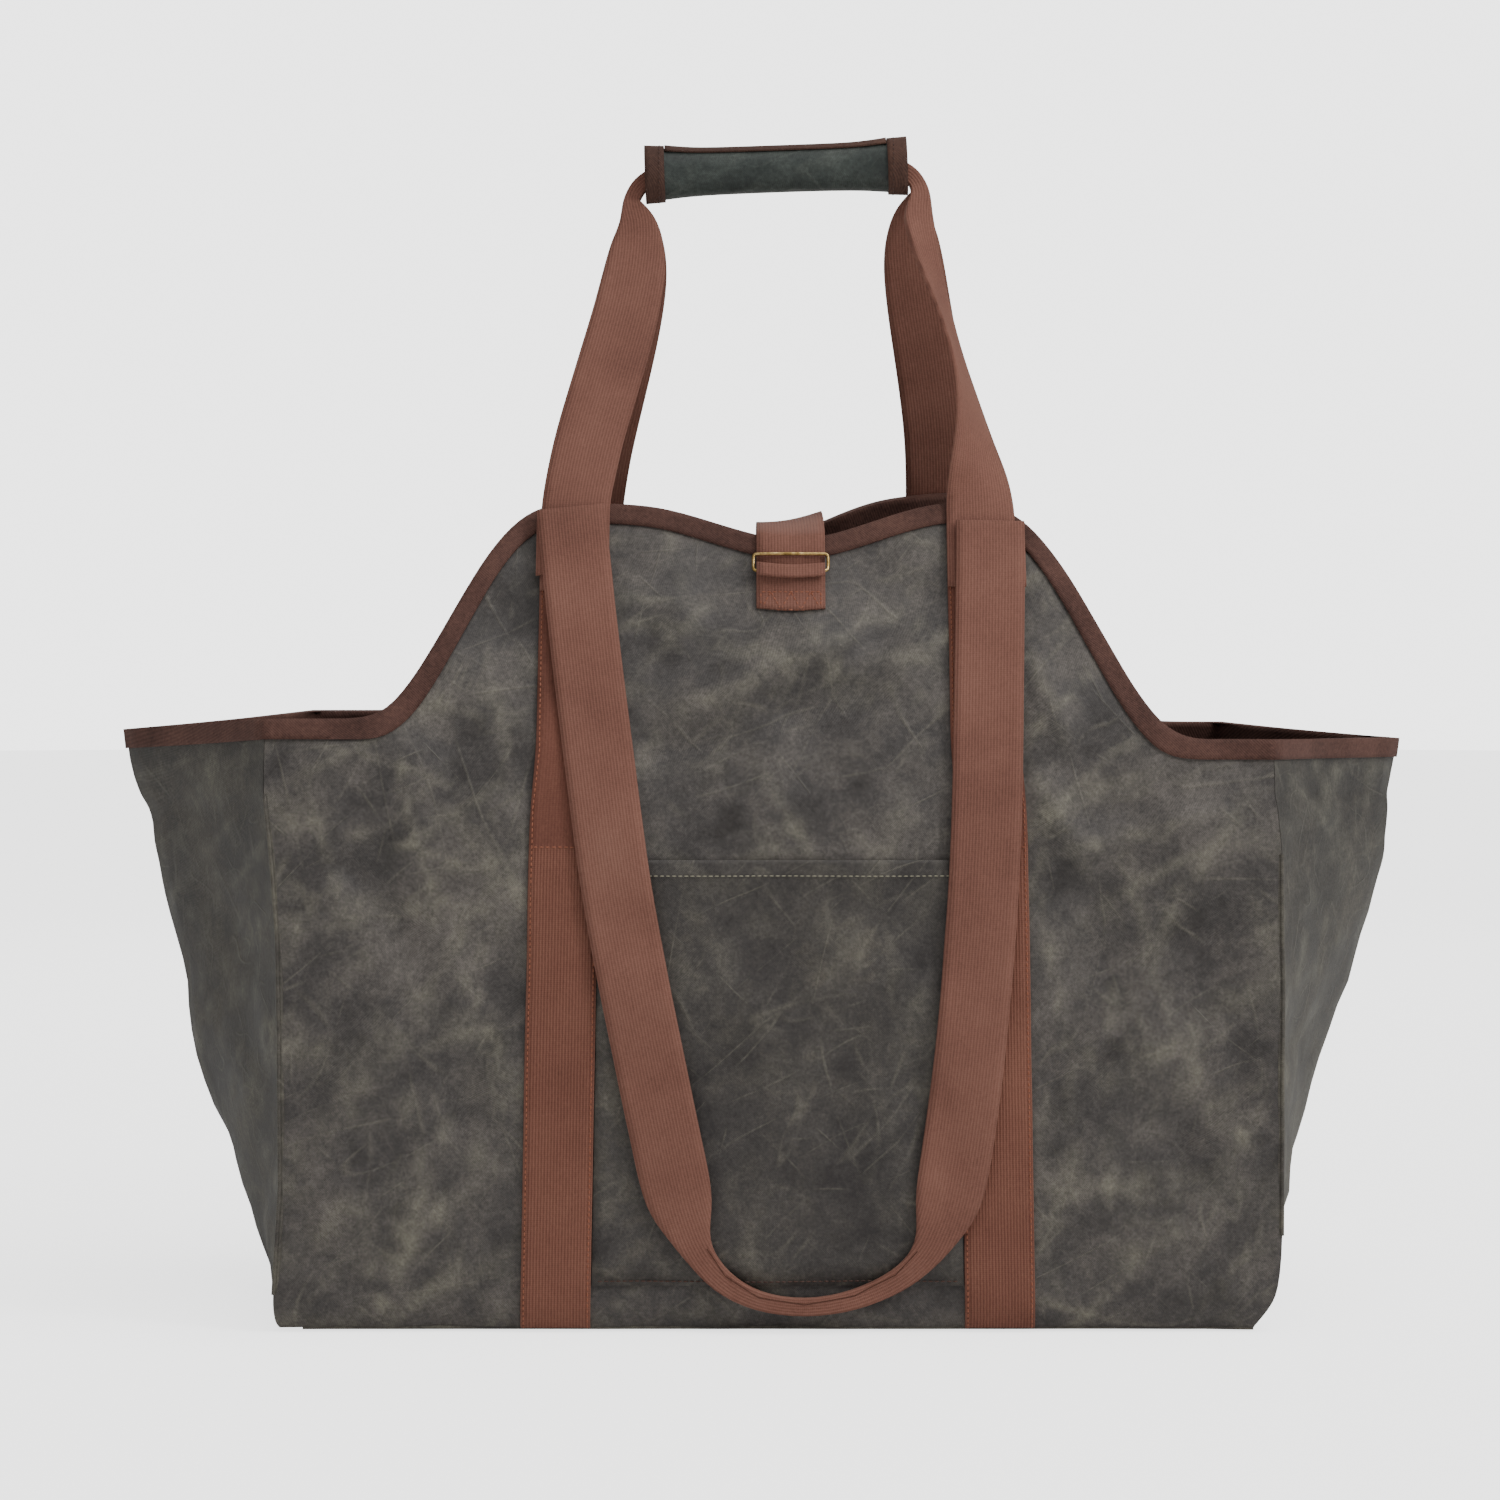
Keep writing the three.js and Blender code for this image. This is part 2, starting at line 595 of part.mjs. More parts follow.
// The base: its edge is the wall's lowest row, and its inside is blended from that edge
function baseGrid() {
  const edge = wallGrid(columnRange(0, wallColumns - 1), 0, 0);
  const lookUp = (lines, column) => lines[0][column % wallColumns];
  const frontLine = columnRange(0, lastColumn);
  const backLine = frontLine.map(backColumn);
  const inside = [strapColumns.left[0], strapColumns.left[1], strapColumns.right[0], strapColumns.right[1]];
  const points = [];
  const normals = [];
  for (let row = 0; row <= gussetCells; row += 1) {
    const deep = row / gussetCells;
    const leftEnd = wallColumns - row;
    const rightEnd = lastColumn + row;
    const onEdgeRow = row === 0 || row === gussetCells;
    const pointLine = [];
    const normalLine = [];
    frontLine.forEach((column) => {
      const front = lookUp(edge.points, column);
      const back = lookUp(edge.points, backLine[column]);
      const onEdge = onEdgeRow || column === 0 || column === lastColumn;
      if (onEdge) {
        const edgeColumn = column === 0 ? leftEnd : rightEnd;
        const rowColumn = row === 0 ? column : backLine[column];
        const found = onEdgeRow ? rowColumn : edgeColumn;
        pointLine.push(lookUp(edge.points, found).clone());
        normalLine.push(lookUp(edge.normals, found).clone());
        return;
      }
      const point = front.clone().lerp(back, deep);
      const underStrap = (column >= inside[0] && column <= inside[1])
        || (column >= inside[2] && column <= inside[3]);
      point.z -= underStrap ? 0 : baseSag;
      pointLine.push(point);
      normalLine.push(vector(0, 0, -1));
    });
    points.push(pointLine);
    normals.push(normalLine);
  }
  return { points, normals };
}

// Where a line across a strap or tab crosses the panel at a height near its middle
function bandOnPanel(panel, columns, height) {
  const [first, last] = columns;
  const grid = wallGrid(panelRange(panel, first, last));
  const middle = Math.floor((last - first) / 2);
  let row = 0;
  while (row < rimRow - 1 && grid.points[row + 1][middle].z < height) {
    row += 1;
  }
  const below = grid.points[row][middle].z;
  const above = grid.points[row + 1][middle].z;
  const share = (height - below) / (above - below);
  return {
    points: blendLine(grid.points[row], grid.points[row + 1], share),
    normals: blendLine(grid.normals[row], grid.normals[row + 1], share),
  };
}

// Moves a line of points along its normals
function liftLine(line, distance) {
  return line.points.map((point, index) => point.clone().addScaledVector(line.normals[index], distance));
}

// A strip from lines of three points with a number of webbing layers at each line
function stripSolid(lines, layers) {
  const grid = { points: lines, normals: gridNormals(lines) };
  const half = (row) => (webThickness * layers[row]) / 2;
  return wallSolid(grid, (row) => -half(row), half);
}

// A line of three points across a strip
function stripLine(centre, across, width) {
  return [-0.5, 0, 0.5].map((share) => centre.clone().addScaledVector(across, share * width));
}

// Pieces

const topTrim = bindingTape + layerGap;

function canvasSheet(columns) {
  const grid = trimGrid(wallGrid(columns), { left: seamGap, right: seamGap, bottom: seamGap });
  const share = topTrim / bindingDrop;
  for (const lines of [grid.points, grid.normals]) {
    lines[rimRow] = blendLine(lines[rimRow], lines[rimRow - 1], share);
  }
  return wallSolid(grid, -clothHalf, clothHalf);
}

function baseSheet() {
  const gap = { left: seamGap, right: seamGap, bottom: seamGap, top: seamGap };
  return wallSolid(trimGrid(baseGrid(), gap), -clothHalf, clothHalf);
}

function rimBinding() {
  const tape = bindingTape / bindingDrop;
  const corners = [
    [bindingOut, 1], [bindingOut, 0], [-bindingOut, 0], [-bindingOut, 1],
    [-onCanvas, 1], [-onCanvas, tape], [onCanvas, tape], [onCanvas, 1],
  ];
  const sections = columnRange(0, wallColumns - 1).map((column) => corners.map(([offset, down]) => {
    const point = wallPoints[rimRow][column].clone().lerp(wallPoints[rimRow - 1][column], down);
    const normal = wallNormals[rimRow][column].clone().lerp(wallNormals[rimRow - 1][column], down);
    return point.addScaledVector(normal, offset);
  }));
  const downwardSides = [2, 6];
  return loopSolid(sections, downwardSides);
}

function girthStrap(side) {
  const [first, last] = strapColumns[side];
  const top = rimRow - 1;
  const front = wallGrid(panelRange('front', first, last), 0, top);
  const back = wallGrid(panelRange('back', first, last), 0, top);
  const base = baseGrid();
  const under = (lines) => lines.slice(1, gussetCells).map((line) => line.slice(first, last + 1));
  const join = (key) => [...back[key]].reverse()
    .concat([...under(base[key])].reverse(), front[key]);
  const grid = trimGrid({ points: join('points'), normals: join('normals') }, { bottom: 0.5, top: 0.5 });
  return wallSolid(grid, onCanvas, onCanvas + webThickness);
}

function pocket() {
  const columns = columnRange(strapColumns.left[1], strapColumns.right[0]);
  const grid = trimGrid(wallGrid(columns, pocketRows[0], pocketRows[1]), { left: 0.5, right: 0.5 });
  const hem = hemRow - pocketRows[0];
  for (const lines of [grid.points, grid.normals]) {
    lines.splice(hem, 0, blendLine(lines[hem], lines[hem - 1], 0.02));
  }
  return wallSolid(grid, onCanvas, (row) => onCanvas + (row > hem ? hemCloth : pocketCloth));
}

const leanLead = 1.06;   // the handles meet a little below the grip
const gripZ = (x) => gripHeight + x * Math.tan(radians(gripTilt));

// One leg of a carry handle, from its sewn end up to the middle of the grip
function carryLeg(panel, side, table) {
  const [first, last] = strapColumns[side];
  const sign = side === 'left' ? -1 : 1;
  const lift = onStrap + webThickness / 2;
  const middle = wallPoints[rimRow][panelRange(panel, first, last)[1]].z;
  const heights = [middle - tailLength, middle - tailLength / 2, middle - bindingDrop, middle];
  const outerFirst = (line) => (side === 'left' ? line : [...line].reverse());
  const lines = heights.map((height) => (
    outerFirst(liftLine(bandOnPanel(panel, [first, last], height), lift))));
  const layers = heights.map(() => 1);
  const rim = lines[lines.length - 1][1];
  const centres = table.map(({ rise, inset, layers: count }) => {
    const fromGrip = (1 - inset) * (mix(Math.abs(rim.x), peakHalf, rise) - gripLength / 2);
    const x = sign * (gripLength / 2 + fromGrip);
    const half = (webThickness * count + layerGap) / 2;
    const y = mix(rim.y, outward[panel] * half, Math.min(1, rise * leanLead));
    return vector(x, y, mix(rim.z, gripZ(x), rise));
  });
  table.forEach((row, index) => {
    const before = index === 0 ? rim : centres[index - 1];
    const after = centres[Math.min(index + 1, centres.length - 1)];
    const along = after.clone().sub(before).normalize();
    const level = vector(0, outward[panel], 0).cross(along).normalize();
    level.multiplyScalar(level.dot(vector(-sign, 0, -1)) < 0 ? -1 : 1);
    const facing = along.clone().cross(level).multiplyScalar(sign);
    const turn = radians(row.twist);
    const across = level.multiplyScalar(Math.cos(turn)).addScaledVector(facing, Math.sin(turn));
    lines.push(stripLine(centres[index], across, webWidth * row.width));
    layers.push(row.layers);
  });
  return { lines, layers };
}

function carryHandle(panel) {
  const left = carryLeg(panel, 'left', carryLeft);
  const right = carryLeg(panel, 'right', panel === 'front' ? carryRightFront : carryLeft);
  return stripSolid(
    [...left.lines, ...right.lines.reverse()],
    [...left.layers, ...right.layers.reverse()],
  );
}

// A point at an offset from the panel's smooth surface, and the normal there
function offPanel(panel, x, height, offset) {
  const step = 1;
  const sign = outward[panel];
  const out = (dx, dz) => panelOut(panel, x + dx, height + dz);
  const slopeX = (out(step, 0) - out(-step, 0)) / (2 * step);
  const slopeZ = (out(0, step) - out(0, -step)) / (2 * step);
  const normal = vector(-slopeX, sign, -slopeZ).normalize();
  const point = vector(x, sign * out(0, 0), height).addScaledVector(normal, offset);
  return { point, normal };
}

function shoulderHandle(panel) {
  const sign = outward[panel];
  const route = shoulderRoute.map((row) => ({
    ...offPanel(panel, row.across * peakHalf, row.height * peakHeight, row.off * webThickness),
    ...row,
  }));
  const lines = [];
  const layers = [];
  route.forEach((row, index) => {
    const before = route[Math.max(0, index - 1)].point;
    const after = route[Math.min(route.length - 1, index + 1)].point;
    const along = after.clone().sub(before).normalize();
    const across = row.normal.clone().cross(along).normalize().multiplyScalar(-sign);
    lines.push(stripLine(row.point, across, webWidth * row.width));
    layers.push(row.layers);
  });
  const tail = (line, row) => {
    const across = line[2].clone().sub(line[0]).normalize();
    const x = row.across * peakHalf;
    const fold = row.height * peakHeight;
    const turnOff = ((row.off + tailOff) / 2) * webThickness;
    const heights = [
      { height: fold + foldRise, offset: turnOff },
      { height: fold, offset: tailOff * webThickness },
      { height: fold - tailLength * 0.3, offset: tailOff * webThickness },
      { height: fold - tailLength * 0.7, offset: tailOff * webThickness },
    ];
    return heights.map(({ height, offset }) => (
      stripLine(offPanel(panel, x, height, offset).point, across, webWidth)));
  };
  const leftTail = tail(lines[0], route[0]).reverse();
  const rightTail = tail(lines[lines.length - 1], route[route.length - 1]);
  return stripSolid(
    [...leftTail, ...lines, ...rightTail],
    [...leftTail.map(() => 1), ...layers, ...rightTail.map(() => 1)],
  );
}

// The grip is turned about its long axis and flattened a little from front to back
const stackHalf = webThickness * 2 + layerGap / 2;
const sleeveInner = Math.hypot(webWidth / 4 + layerGap, (stackHalf + layerGap) / gripFlatten);
const flareLength = gripLength * 0.22;

function sleeveRadius(along) {
  const fromEnd = gripLength / 2 - Math.abs(along);
  return sleeveInner + gripEndFlare * (1 - ease(fromEnd / flareLength));
}

function turnedAboutGrip(profile) {
  const outline = profile.map(([along, radius]) => new THREE.Vector2(radius, along));
  if (THREE.ShapeUtils.isClockWise(outline)) {
    outline.reverse();
  }
  const geometry = new THREE.LatheGeometry([...outline, outline[0]], gripSides);
  geometry.scale(gripFlatten, 1, 1);
  geometry.rotateZ(-Math.PI / 2);
  return geometry;
}

function gripWrap() {
  const half = gripLength / 2;
  const stations = [-half, -half + 15, -half + flareLength, half - flareLength, half - 15, half];
  const inner = stations.map((along) => [along, sleeveRadius(along)]);
  const outer = stations.map((along) => [along, sleeveRadius(along) + gripCloth]);
  return turnedAboutGrip([...inner, ...outer.reverse()]);
}

function gripBinding(sign) {
  const half = gripLength / 2;
  const innerLeg = gripBindingWidth * 0.6;
  const outerAt = (inset) => sleeveRadius(half - inset) + gripCloth + layerGap;
  const innerAt = (inset) => sleeveRadius(half - inset) - layerGap;
  const end = half + layerGap;
  const tape = bindingTape;
  const profile = [
    [half - gripBindingWidth, outerAt(gripBindingWidth) + tape],
    [half - gripBindingWidth, outerAt(gripBindingWidth)],
    [end, outerAt(0)],
    [end, innerAt(0)],
    [half - innerLeg, innerAt(innerLeg)],
    [half - innerLeg, innerAt(innerLeg) - tape],
    [end + tape, innerAt(0) - tape],
    [end + tape, outerAt(0) + tape],
  ];
  return turnedAboutGrip(profile.map(([along, radius]) => [sign * along, radius]));
}

function gripEdge() {
  const half = gripLength / 2 - gripBindingWidth - layerGap;
  const first = radians(52);
  const turn = gripEdgeWidth / (sleeveInner + gripCloth);
  const lines = [-1, -0.75, -0.45, 0, 0.45, 0.75, 1].map((share) => {
    const along = share * half;
    const radius = sleeveRadius(along) + gripCloth + 0.55;
    return [1, 0.5, 0].map((step) => {
      const angle = first + step * turn;
      return vector(along, -radius * gripFlatten * Math.cos(angle), radius * Math.sin(angle));
    });
  });
  return wallSolid({ points: lines, normals: gridNormals(lines) }, 0, bindingTape);
}

// Closure

const ringOff = onStrap + webThickness + layerGap + ringWire / 2;
const ringSeat = bandOnPanel('front', tabColumns, ringCentreHeight);
const ringNormal = ringSeat.normals[1].clone().normalize();
const ringRise = Math.hypot(ringNormal.x, ringNormal.y);   // height gained along the cloth
const barSpacing = ringHeight - ringWire;

function closureStrap() {
  const front = (height, offset) => liftLine(bandOnPanel('front', tabColumns, height), offset);
  const back = (height, offset) => liftLine(bandOnPanel('back', tabColumns, height), offset);
  const overBinding = bindingOut + layerGap + webThickness / 2;
  const middle = Math.round((tabColumns[0] + tabColumns[1]) / 2);
  const frontRim = wallPoints[rimRow][middle].z;
  const backRim = wallPoints[rimRow][backColumn(middle)].z;
  const ringTop = ringCentreHeight + (barSpacing / 2) * ringRise;
  const up = (line, rise, shift) => line.map((point) => point.clone().add(vector(0, shift, rise)));
  const frontTop = front(frontRim, 0);
  const backTop = back(backRim, 0);
  const lines = [
    back(backRim - closureTail, overBinding),
    back(backRim - closureTail / 2, overBinding),
    back(backRim - bindingDrop, overBinding),
    back(backRim, overBinding),
    up(backTop, overBinding - 0.6, rimRoll * 0.1),
    up(backTop, overBinding + archRise / 2, -rimRoll),
  ];
  const arch = [0.25, 0.5, 0.75];
  arch.forEach((share) => {
    const line = blendLine(backTop, frontTop, share);
    lines.push(up(line, overBinding + archRise * (Math.sin(Math.PI * share) + 0.75), 0));
  });
  lines.push(up(frontTop, overBinding + archRise / 2, rimRoll));
  lines.push(up(frontTop, overBinding - 0.6, -rimRoll * 0.1));
  lines.push(front(frontRim, overBinding));
  lines.push(front(ringTop + ringTuck / 3, overBinding + 0.25));
  lines.push(front(ringTop - ringTuck / 3, overBinding + 0.25));
  lines.push(front(ringTop - ringTuck, onCanvas + webThickness / 2 + 0.1));
  lines.push(front(tabHeight + tabSewn + 4, onCanvas + webThickness / 2));
  return stripSolid(lines, lines.map(() => 1));
}

function closureTab() {
  const front = (height, offset) => liftLine(bandOnPanel('front', tabColumns, height), offset);
  const barHeight = ringCentreHeight - (barSpacing / 2) * ringRise;
  const round = ringWire / 2 + layerGap + webThickness / 2;
  const lines = [
    front(tabHeight, onCanvas + webThickness / 2),
    front(tabHeight + tabSewn - 1.5, onCanvas + webThickness / 2),
    front(tabHeight + tabSewn + 2.5, ringOff - round),
    front(barHeight, ringOff - round),
  ];
  for (const angle of [30, 60, 90, 120, 150]) {
    const offset = ringOff - round * Math.cos(radians(angle));
    lines.push(front(barHeight + round * Math.sin(radians(angle)) * ringRise, offset));
  }
  lines.push(front(barHeight, ringOff + round));
  lines.push(front(barHeight - ringHeight * 0.4, ringOff + round * 0.9));
  return stripSolid(lines, lines.map(() => 1));
}

function closureRing() {
  const normal = ringNormal;
  const centre = ringSeat.points[1].clone().addScaledVector(normal, ringOff);
  const across = vector(1, 0, 0);
  const up = normal.clone().cross(across).multiplyScalar(-1).normalize();
  const halfWide = webWidth / 2 + ringSlack + ringWire / 2;
  const halfHigh = barSpacing / 2;
  const bend = ringWire * 0.9;
  const path = [];
  const cornersOfRing = [[1, 1], [-1, 1], [-1, -1], [1, -1]];
  cornersOfRing.forEach(([sideways, upward], index) => {
    for (let step = 0; step <= 3; step += 1) {
      const angle = radians(90 * index + 30 * step);
      path.push({
        x: sideways * (halfWide - bend) + bend * Math.cos(angle),
        z: upward * (halfHigh - bend) + bend * Math.sin(angle),
        outX: Math.cos(angle),
        outZ: Math.sin(angle),
      });
    }
  });
  const sections = path.map(({ x, z, outX, outZ }) => {
    const at = centre.clone().addScaledVector(across, x).addScaledVector(up, z);
    const out = across.clone().multiplyScalar(outX).addScaledVector(up, outZ);
    return columnRange(0, 5).map((side) => {
      const angle = (side * Math.PI) / 3;
      return at.clone().addScaledVector(out, (ringWire / 2) * Math.cos(angle))
        .addScaledVector(normal, (ringWire / 2) * Math.sin(angle));
    });
  });
  return loopSolid(sections);
}

// Assembly

const finishes = {
  canvas: new THREE.MeshStandardMaterial({ color: colours.canvas, roughness: 0.82, metalness: 0 }),
  webbing: new THREE.MeshStandardMaterial({ color: colours.webbing, roughness: 0.75, metalness: 0 }),
  binding: new THREE.MeshStandardMaterial({ color: colours.binding, roughness: 0.8, metalness: 0 }),
  grip: new THREE.MeshStandardMaterial({ color: colours.grip, roughness: 0.8, metalness: 0 }),
  brass: new THREE.MeshStandardMaterial({ color: colours.brass, roughness: 0.4, metalness: 1 }),
};

function named(name, geometry, finish) {
  const mesh = new THREE.Mesh(geometry, finishes[finish]);
  mesh.name = name;
  return mesh;
}

const body = new THREE.Group();
body.add(
  named('front_panel', canvasSheet(columnRange(0, lastColumn)), 'canvas'),
  named('back_panel', canvasSheet(columnRange(backColumn(lastColumn), backColumn(0))), 'canvas'),
  named('end_gusset_right', canvasSheet(columnRange(lastColumn, lastColumn + gussetCells)), 'canvas'),
  named('end_gusset_left', canvasSheet(columnRange(backColumn(0), wallColumns)), 'canvas'),
  named('base_panel', baseSheet(), 'canvas'),
  named('front_pocket', pocket(), 'canvas'),
  named('rim_binding', rimBinding(), 'binding'),
);

const webbing = new THREE.Group();
for (const side of ['left', 'right']) {
  webbing.add(named(`girth_strap_${side}`, girthStrap(side), 'webbing'));
}
for (const panel of ['front', 'back']) {
  webbing.add(named(`carry_handle_${panel}`, carryHandle(panel), 'webbing'));
  webbing.add(named(`shoulder_handle_${panel}`, shoulderHandle(panel), 'webbing'));
}

const grip = new THREE.Group();
grip.position.set(0, 0, gripHeight);
grip.rotation.y = -radians(gripTilt);
grip.add(
  named('grip_wrap', gripWrap(), 'grip'),
  named('grip_binding_left', gripBinding(-1), 'binding'),
  named('grip_binding_right', gripBinding(1), 'binding'),
  named('grip_binding_edge', gripEdge(), 'binding'),
);

const closure = new THREE.Group();
closure.add(
  named('closure_strap', closureStrap(), 'webbing'),
  named('closure_tab', closureTab(), 'webbing'),
  named('closure_buckle', closureRing(), 'brass'),
);

// The origin is the middle of the grip
const carrier = new THREE.Group();
carrier.add(body, webbing, grip, closure);
carrier.position.set(0, 0, -gripHeight);

export default carrier;
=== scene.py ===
import functools
import itertools
import math

import bmesh
import bpy
import numpy as np
from mathutils import Matrix, Vector, noise
from mathutils.bvhtree import BVHTree


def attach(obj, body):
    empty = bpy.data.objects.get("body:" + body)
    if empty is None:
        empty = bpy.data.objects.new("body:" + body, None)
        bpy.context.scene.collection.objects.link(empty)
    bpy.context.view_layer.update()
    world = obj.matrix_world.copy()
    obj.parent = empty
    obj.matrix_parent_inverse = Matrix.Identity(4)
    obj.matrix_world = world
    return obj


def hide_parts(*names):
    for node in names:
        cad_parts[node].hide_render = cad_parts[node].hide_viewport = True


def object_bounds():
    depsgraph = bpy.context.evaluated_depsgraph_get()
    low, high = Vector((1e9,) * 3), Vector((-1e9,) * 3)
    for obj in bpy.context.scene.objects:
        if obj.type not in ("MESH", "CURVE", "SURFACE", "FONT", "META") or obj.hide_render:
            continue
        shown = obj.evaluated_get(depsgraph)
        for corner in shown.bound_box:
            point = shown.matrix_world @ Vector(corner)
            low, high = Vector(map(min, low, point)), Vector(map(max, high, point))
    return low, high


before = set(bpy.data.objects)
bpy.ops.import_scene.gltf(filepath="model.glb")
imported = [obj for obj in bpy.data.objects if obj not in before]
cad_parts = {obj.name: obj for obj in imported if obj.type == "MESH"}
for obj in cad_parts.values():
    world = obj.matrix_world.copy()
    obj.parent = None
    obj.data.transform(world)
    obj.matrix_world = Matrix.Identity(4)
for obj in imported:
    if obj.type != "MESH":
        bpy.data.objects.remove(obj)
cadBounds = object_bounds()

mm = 0.001  # sizes below are real millimetres, meshes are in metres
underside = cadBounds[0][2] / mm  # height of the bag's underside in the frame


def linearColour(hexColour):
    # sRGB hex to the linear colour that the shader wants
    parts = [int(hexColour[place:place + 2], 16) / 255 for place in (1, 3, 5)]
    return [c / 12.92 if c <= 0.04045 else ((c + 0.055) / 1.055) ** 2.4 for c in parts] + [1]


def easeStep(low, high, values):
    share = np.clip((values - low) / (high - low), 0, 1)
    return share * share * (3 - 2 * share)


def addNode(tree, kind, settings=None, links=None):
    # settings: node properties by name, input values by number or name, or a ramp's stops.
    # links: what goes into an input, as a socket, a node for its first output, a number
    # or a hex colour.
    node = tree.nodes.new("ShaderNode" + kind)
    for key, value in (settings or {}).items():
        if key == "stops":
            for _ in value[2:]:
                node.color_ramp.elements.new(0.5)
            for element, (place, colour) in zip(node.color_ramp.elements, value):
                element.position = place
                element.color = linearColour(colour) if isinstance(colour, str) else [colour] * 3 + [1]
        elif isinstance(key, str) and key not in node.inputs and hasattr(node, key):
            setattr(node, key, value)
        else:
            node.inputs[key].default_value = value
    for key, source in (links or {}).items():
        if isinstance(source, bpy.types.Node):
            source = source.outputs[0]
        if isinstance(source, bpy.types.NodeSocket):
            tree.links.new(source, node.inputs[key])
        else:
            node.inputs[key].default_value = linearColour(source) if isinstance(source, str) else source
    return node


def startMaterial(name):
    # a new material, with addNode for its tree
    material = bpy.data.materials.new(name)
    material.use_nodes = True
    material.node_tree.nodes.clear()
    return material, functools.partial(addNode, material.node_tree)


def finishMaterial(add, shader):
    add("OutputMaterial", links={"Surface": shader})


# Camera and light, with places and sizes in mm and powers in watts

view = {
    "place": (-15, -2435, -247),   # in front of the bag, at the height of the photo's horizon
    "width": 814.5,                # of the front plane across the picture
    "distance": 2300,              # from the camera to the front plane
    "sensor": 36,
    "shift": -0.1,                 # the bag's middle is below the horizon
}

lamps = {
    "keyLight": {"place": (2100, -1500, 1300), "size": 800, "power": 29},
    "fillLight": {"place": (-2200, -2000, 300), "size": 1700, "power": 5.6},
    "backLight": {"place": (-300, 2300, 900), "size": 1500, "power": 9},
}
ceilingLight = {"from": (0.3, -0.25, 1), "strength": 1.75, "angle": 55}
backdrop = {"seen": 3.0, "shone": 0.24, "paperGlow": 2.05}   # brighter to the eye than on the bag
floorPaper = {"radius": 9, "segments": 96, "below": 0.6}     # metres, and mm under the bag


def makeCamera():
    camera = bpy.data.cameras.new("photoCamera")
    camera.sensor_width = view["sensor"]
    camera.lens = view["sensor"] * view["distance"] / view["width"]
    camera.shift_y = view["shift"]
    camera.clip_start = 0.01
    camera.clip_end = 100
    placed = bpy.data.objects.new("photoCamera", camera)
    placed.location = Vector(view["place"]) * mm
    placed.rotation_euler = (math.radians(90), 0, 0)
    bpy.context.scene.collection.objects.link(placed)
    bpy.context.scene.camera = placed


def makeLights():
    middle = Vector((0, 0, -350)) * mm
    for name, lamp in lamps.items():
        light = bpy.data.lights.new(name, "AREA")
        light.shape = "DISK"
        light.size = lamp["size"] * mm
        light.energy = lamp["power"]
        placed = bpy.data.objects.new(name, light)
        placed.location = Vector(lamp["place"]) * mm
        placed.rotation_euler = (middle - placed.location).to_track_quat("-Z", "Y").to_euler()
        bpy.context.scene.collection.objects.link(placed)
    sky = bpy.data.lights.new("ceilingLight", "SUN")
    sky.energy = ceilingLight["strength"]
    sky.angle = math.radians(ceilingLight["angle"])
    placed = bpy.data.objects.new("ceilingLight", sky)
    placed.rotation_euler = Vector(ceilingLight["from"]).to_track_quat("Z", "Y").to_euler()
    bpy.context.scene.collection.objects.link(placed)
    world = bpy.data.worlds.new("paleStudio")
    world.use_nodes = True
    tree = world.node_tree
    add = functools.partial(addNode, tree)
    tree.nodes["Background"].inputs[0].default_value = (1, 1, 1, 1)
    seen = add("LightPath").outputs["Is Camera Ray"]
    strength = add("Math", {"operation": "MULTIPLY_ADD"},
                   {0: seen, 1: backdrop["seen"], 2: backdrop["shone"]})
    tree.links.new(strength.outputs[0], tree.nodes["Background"].inputs[1])
    bpy.context.scene.world = world


def makeFloor():
    material, add = startMaterial("matt studio paper")
    # the paper glows a little to the eye only, so that it meets the backdrop without a hard line
    seen = add("LightPath").outputs["Is Camera Ray"]
    paper = add("Math", {"operation": "MULTIPLY"}, {0: seen, 1: backdrop["paperGlow"]})
    paper = add("BsdfPrincipled", {
        "Base Color": linearColour("#f6f6f5"), "Roughness": 0.9, "Specular IOR Level": 0.2,
        "Emission Color": (1, 1, 1, 1)}, {"Emission Strength": paper})
    finishMaterial(add, paper)
    floor = bmesh.new()
    bmesh.ops.create_circle(floor, cap_ends=True, segments=floorPaper["segments"],
                            radius=floorPaper["radius"])
    bmesh.ops.translate(floor, verts=floor.verts, vec=(0, 0, (underside - floorPaper["below"]) * mm))
    data = bpy.data.meshes.new("studioFloor")
    floor.to_mesh(data)
    floor.free()
    data.materials.append(material)
    placed = bpy.data.objects.new("studioFloor", data)
    bpy.context.scene.collection.objects.link(placed)


makeCamera()
makeLights()
makeFloor()
print("camera, light and floor")


# Straight-sided folds in waxed canvas: turn in degrees from level, spacing and depth in mm
crumple = {
    "waves": [(24, 88, 4.6), (-38, 70, 4.2), (68, 92, 4.2), (-72, 58, 3.2), (8, 104, 4.0), (48, 46, 2.6),
              (-14, 38, 1.8)],
    "bendSpacing": 150,    # mm over which a fold wanders
    "bend": 0.5,           # share of a wave that it wanders
    "patchSpacing": 95,    # mm over which folds come and go
    "crest": 0.16,         # rounding of a crest, share of a wave
    "panelShare": 0.95,    # of the depths above, on the panels
    "endShare": 0.8,       # and on the ends
    "longShare": 1.7,      # of the depths of the long folds below, on the panels
}

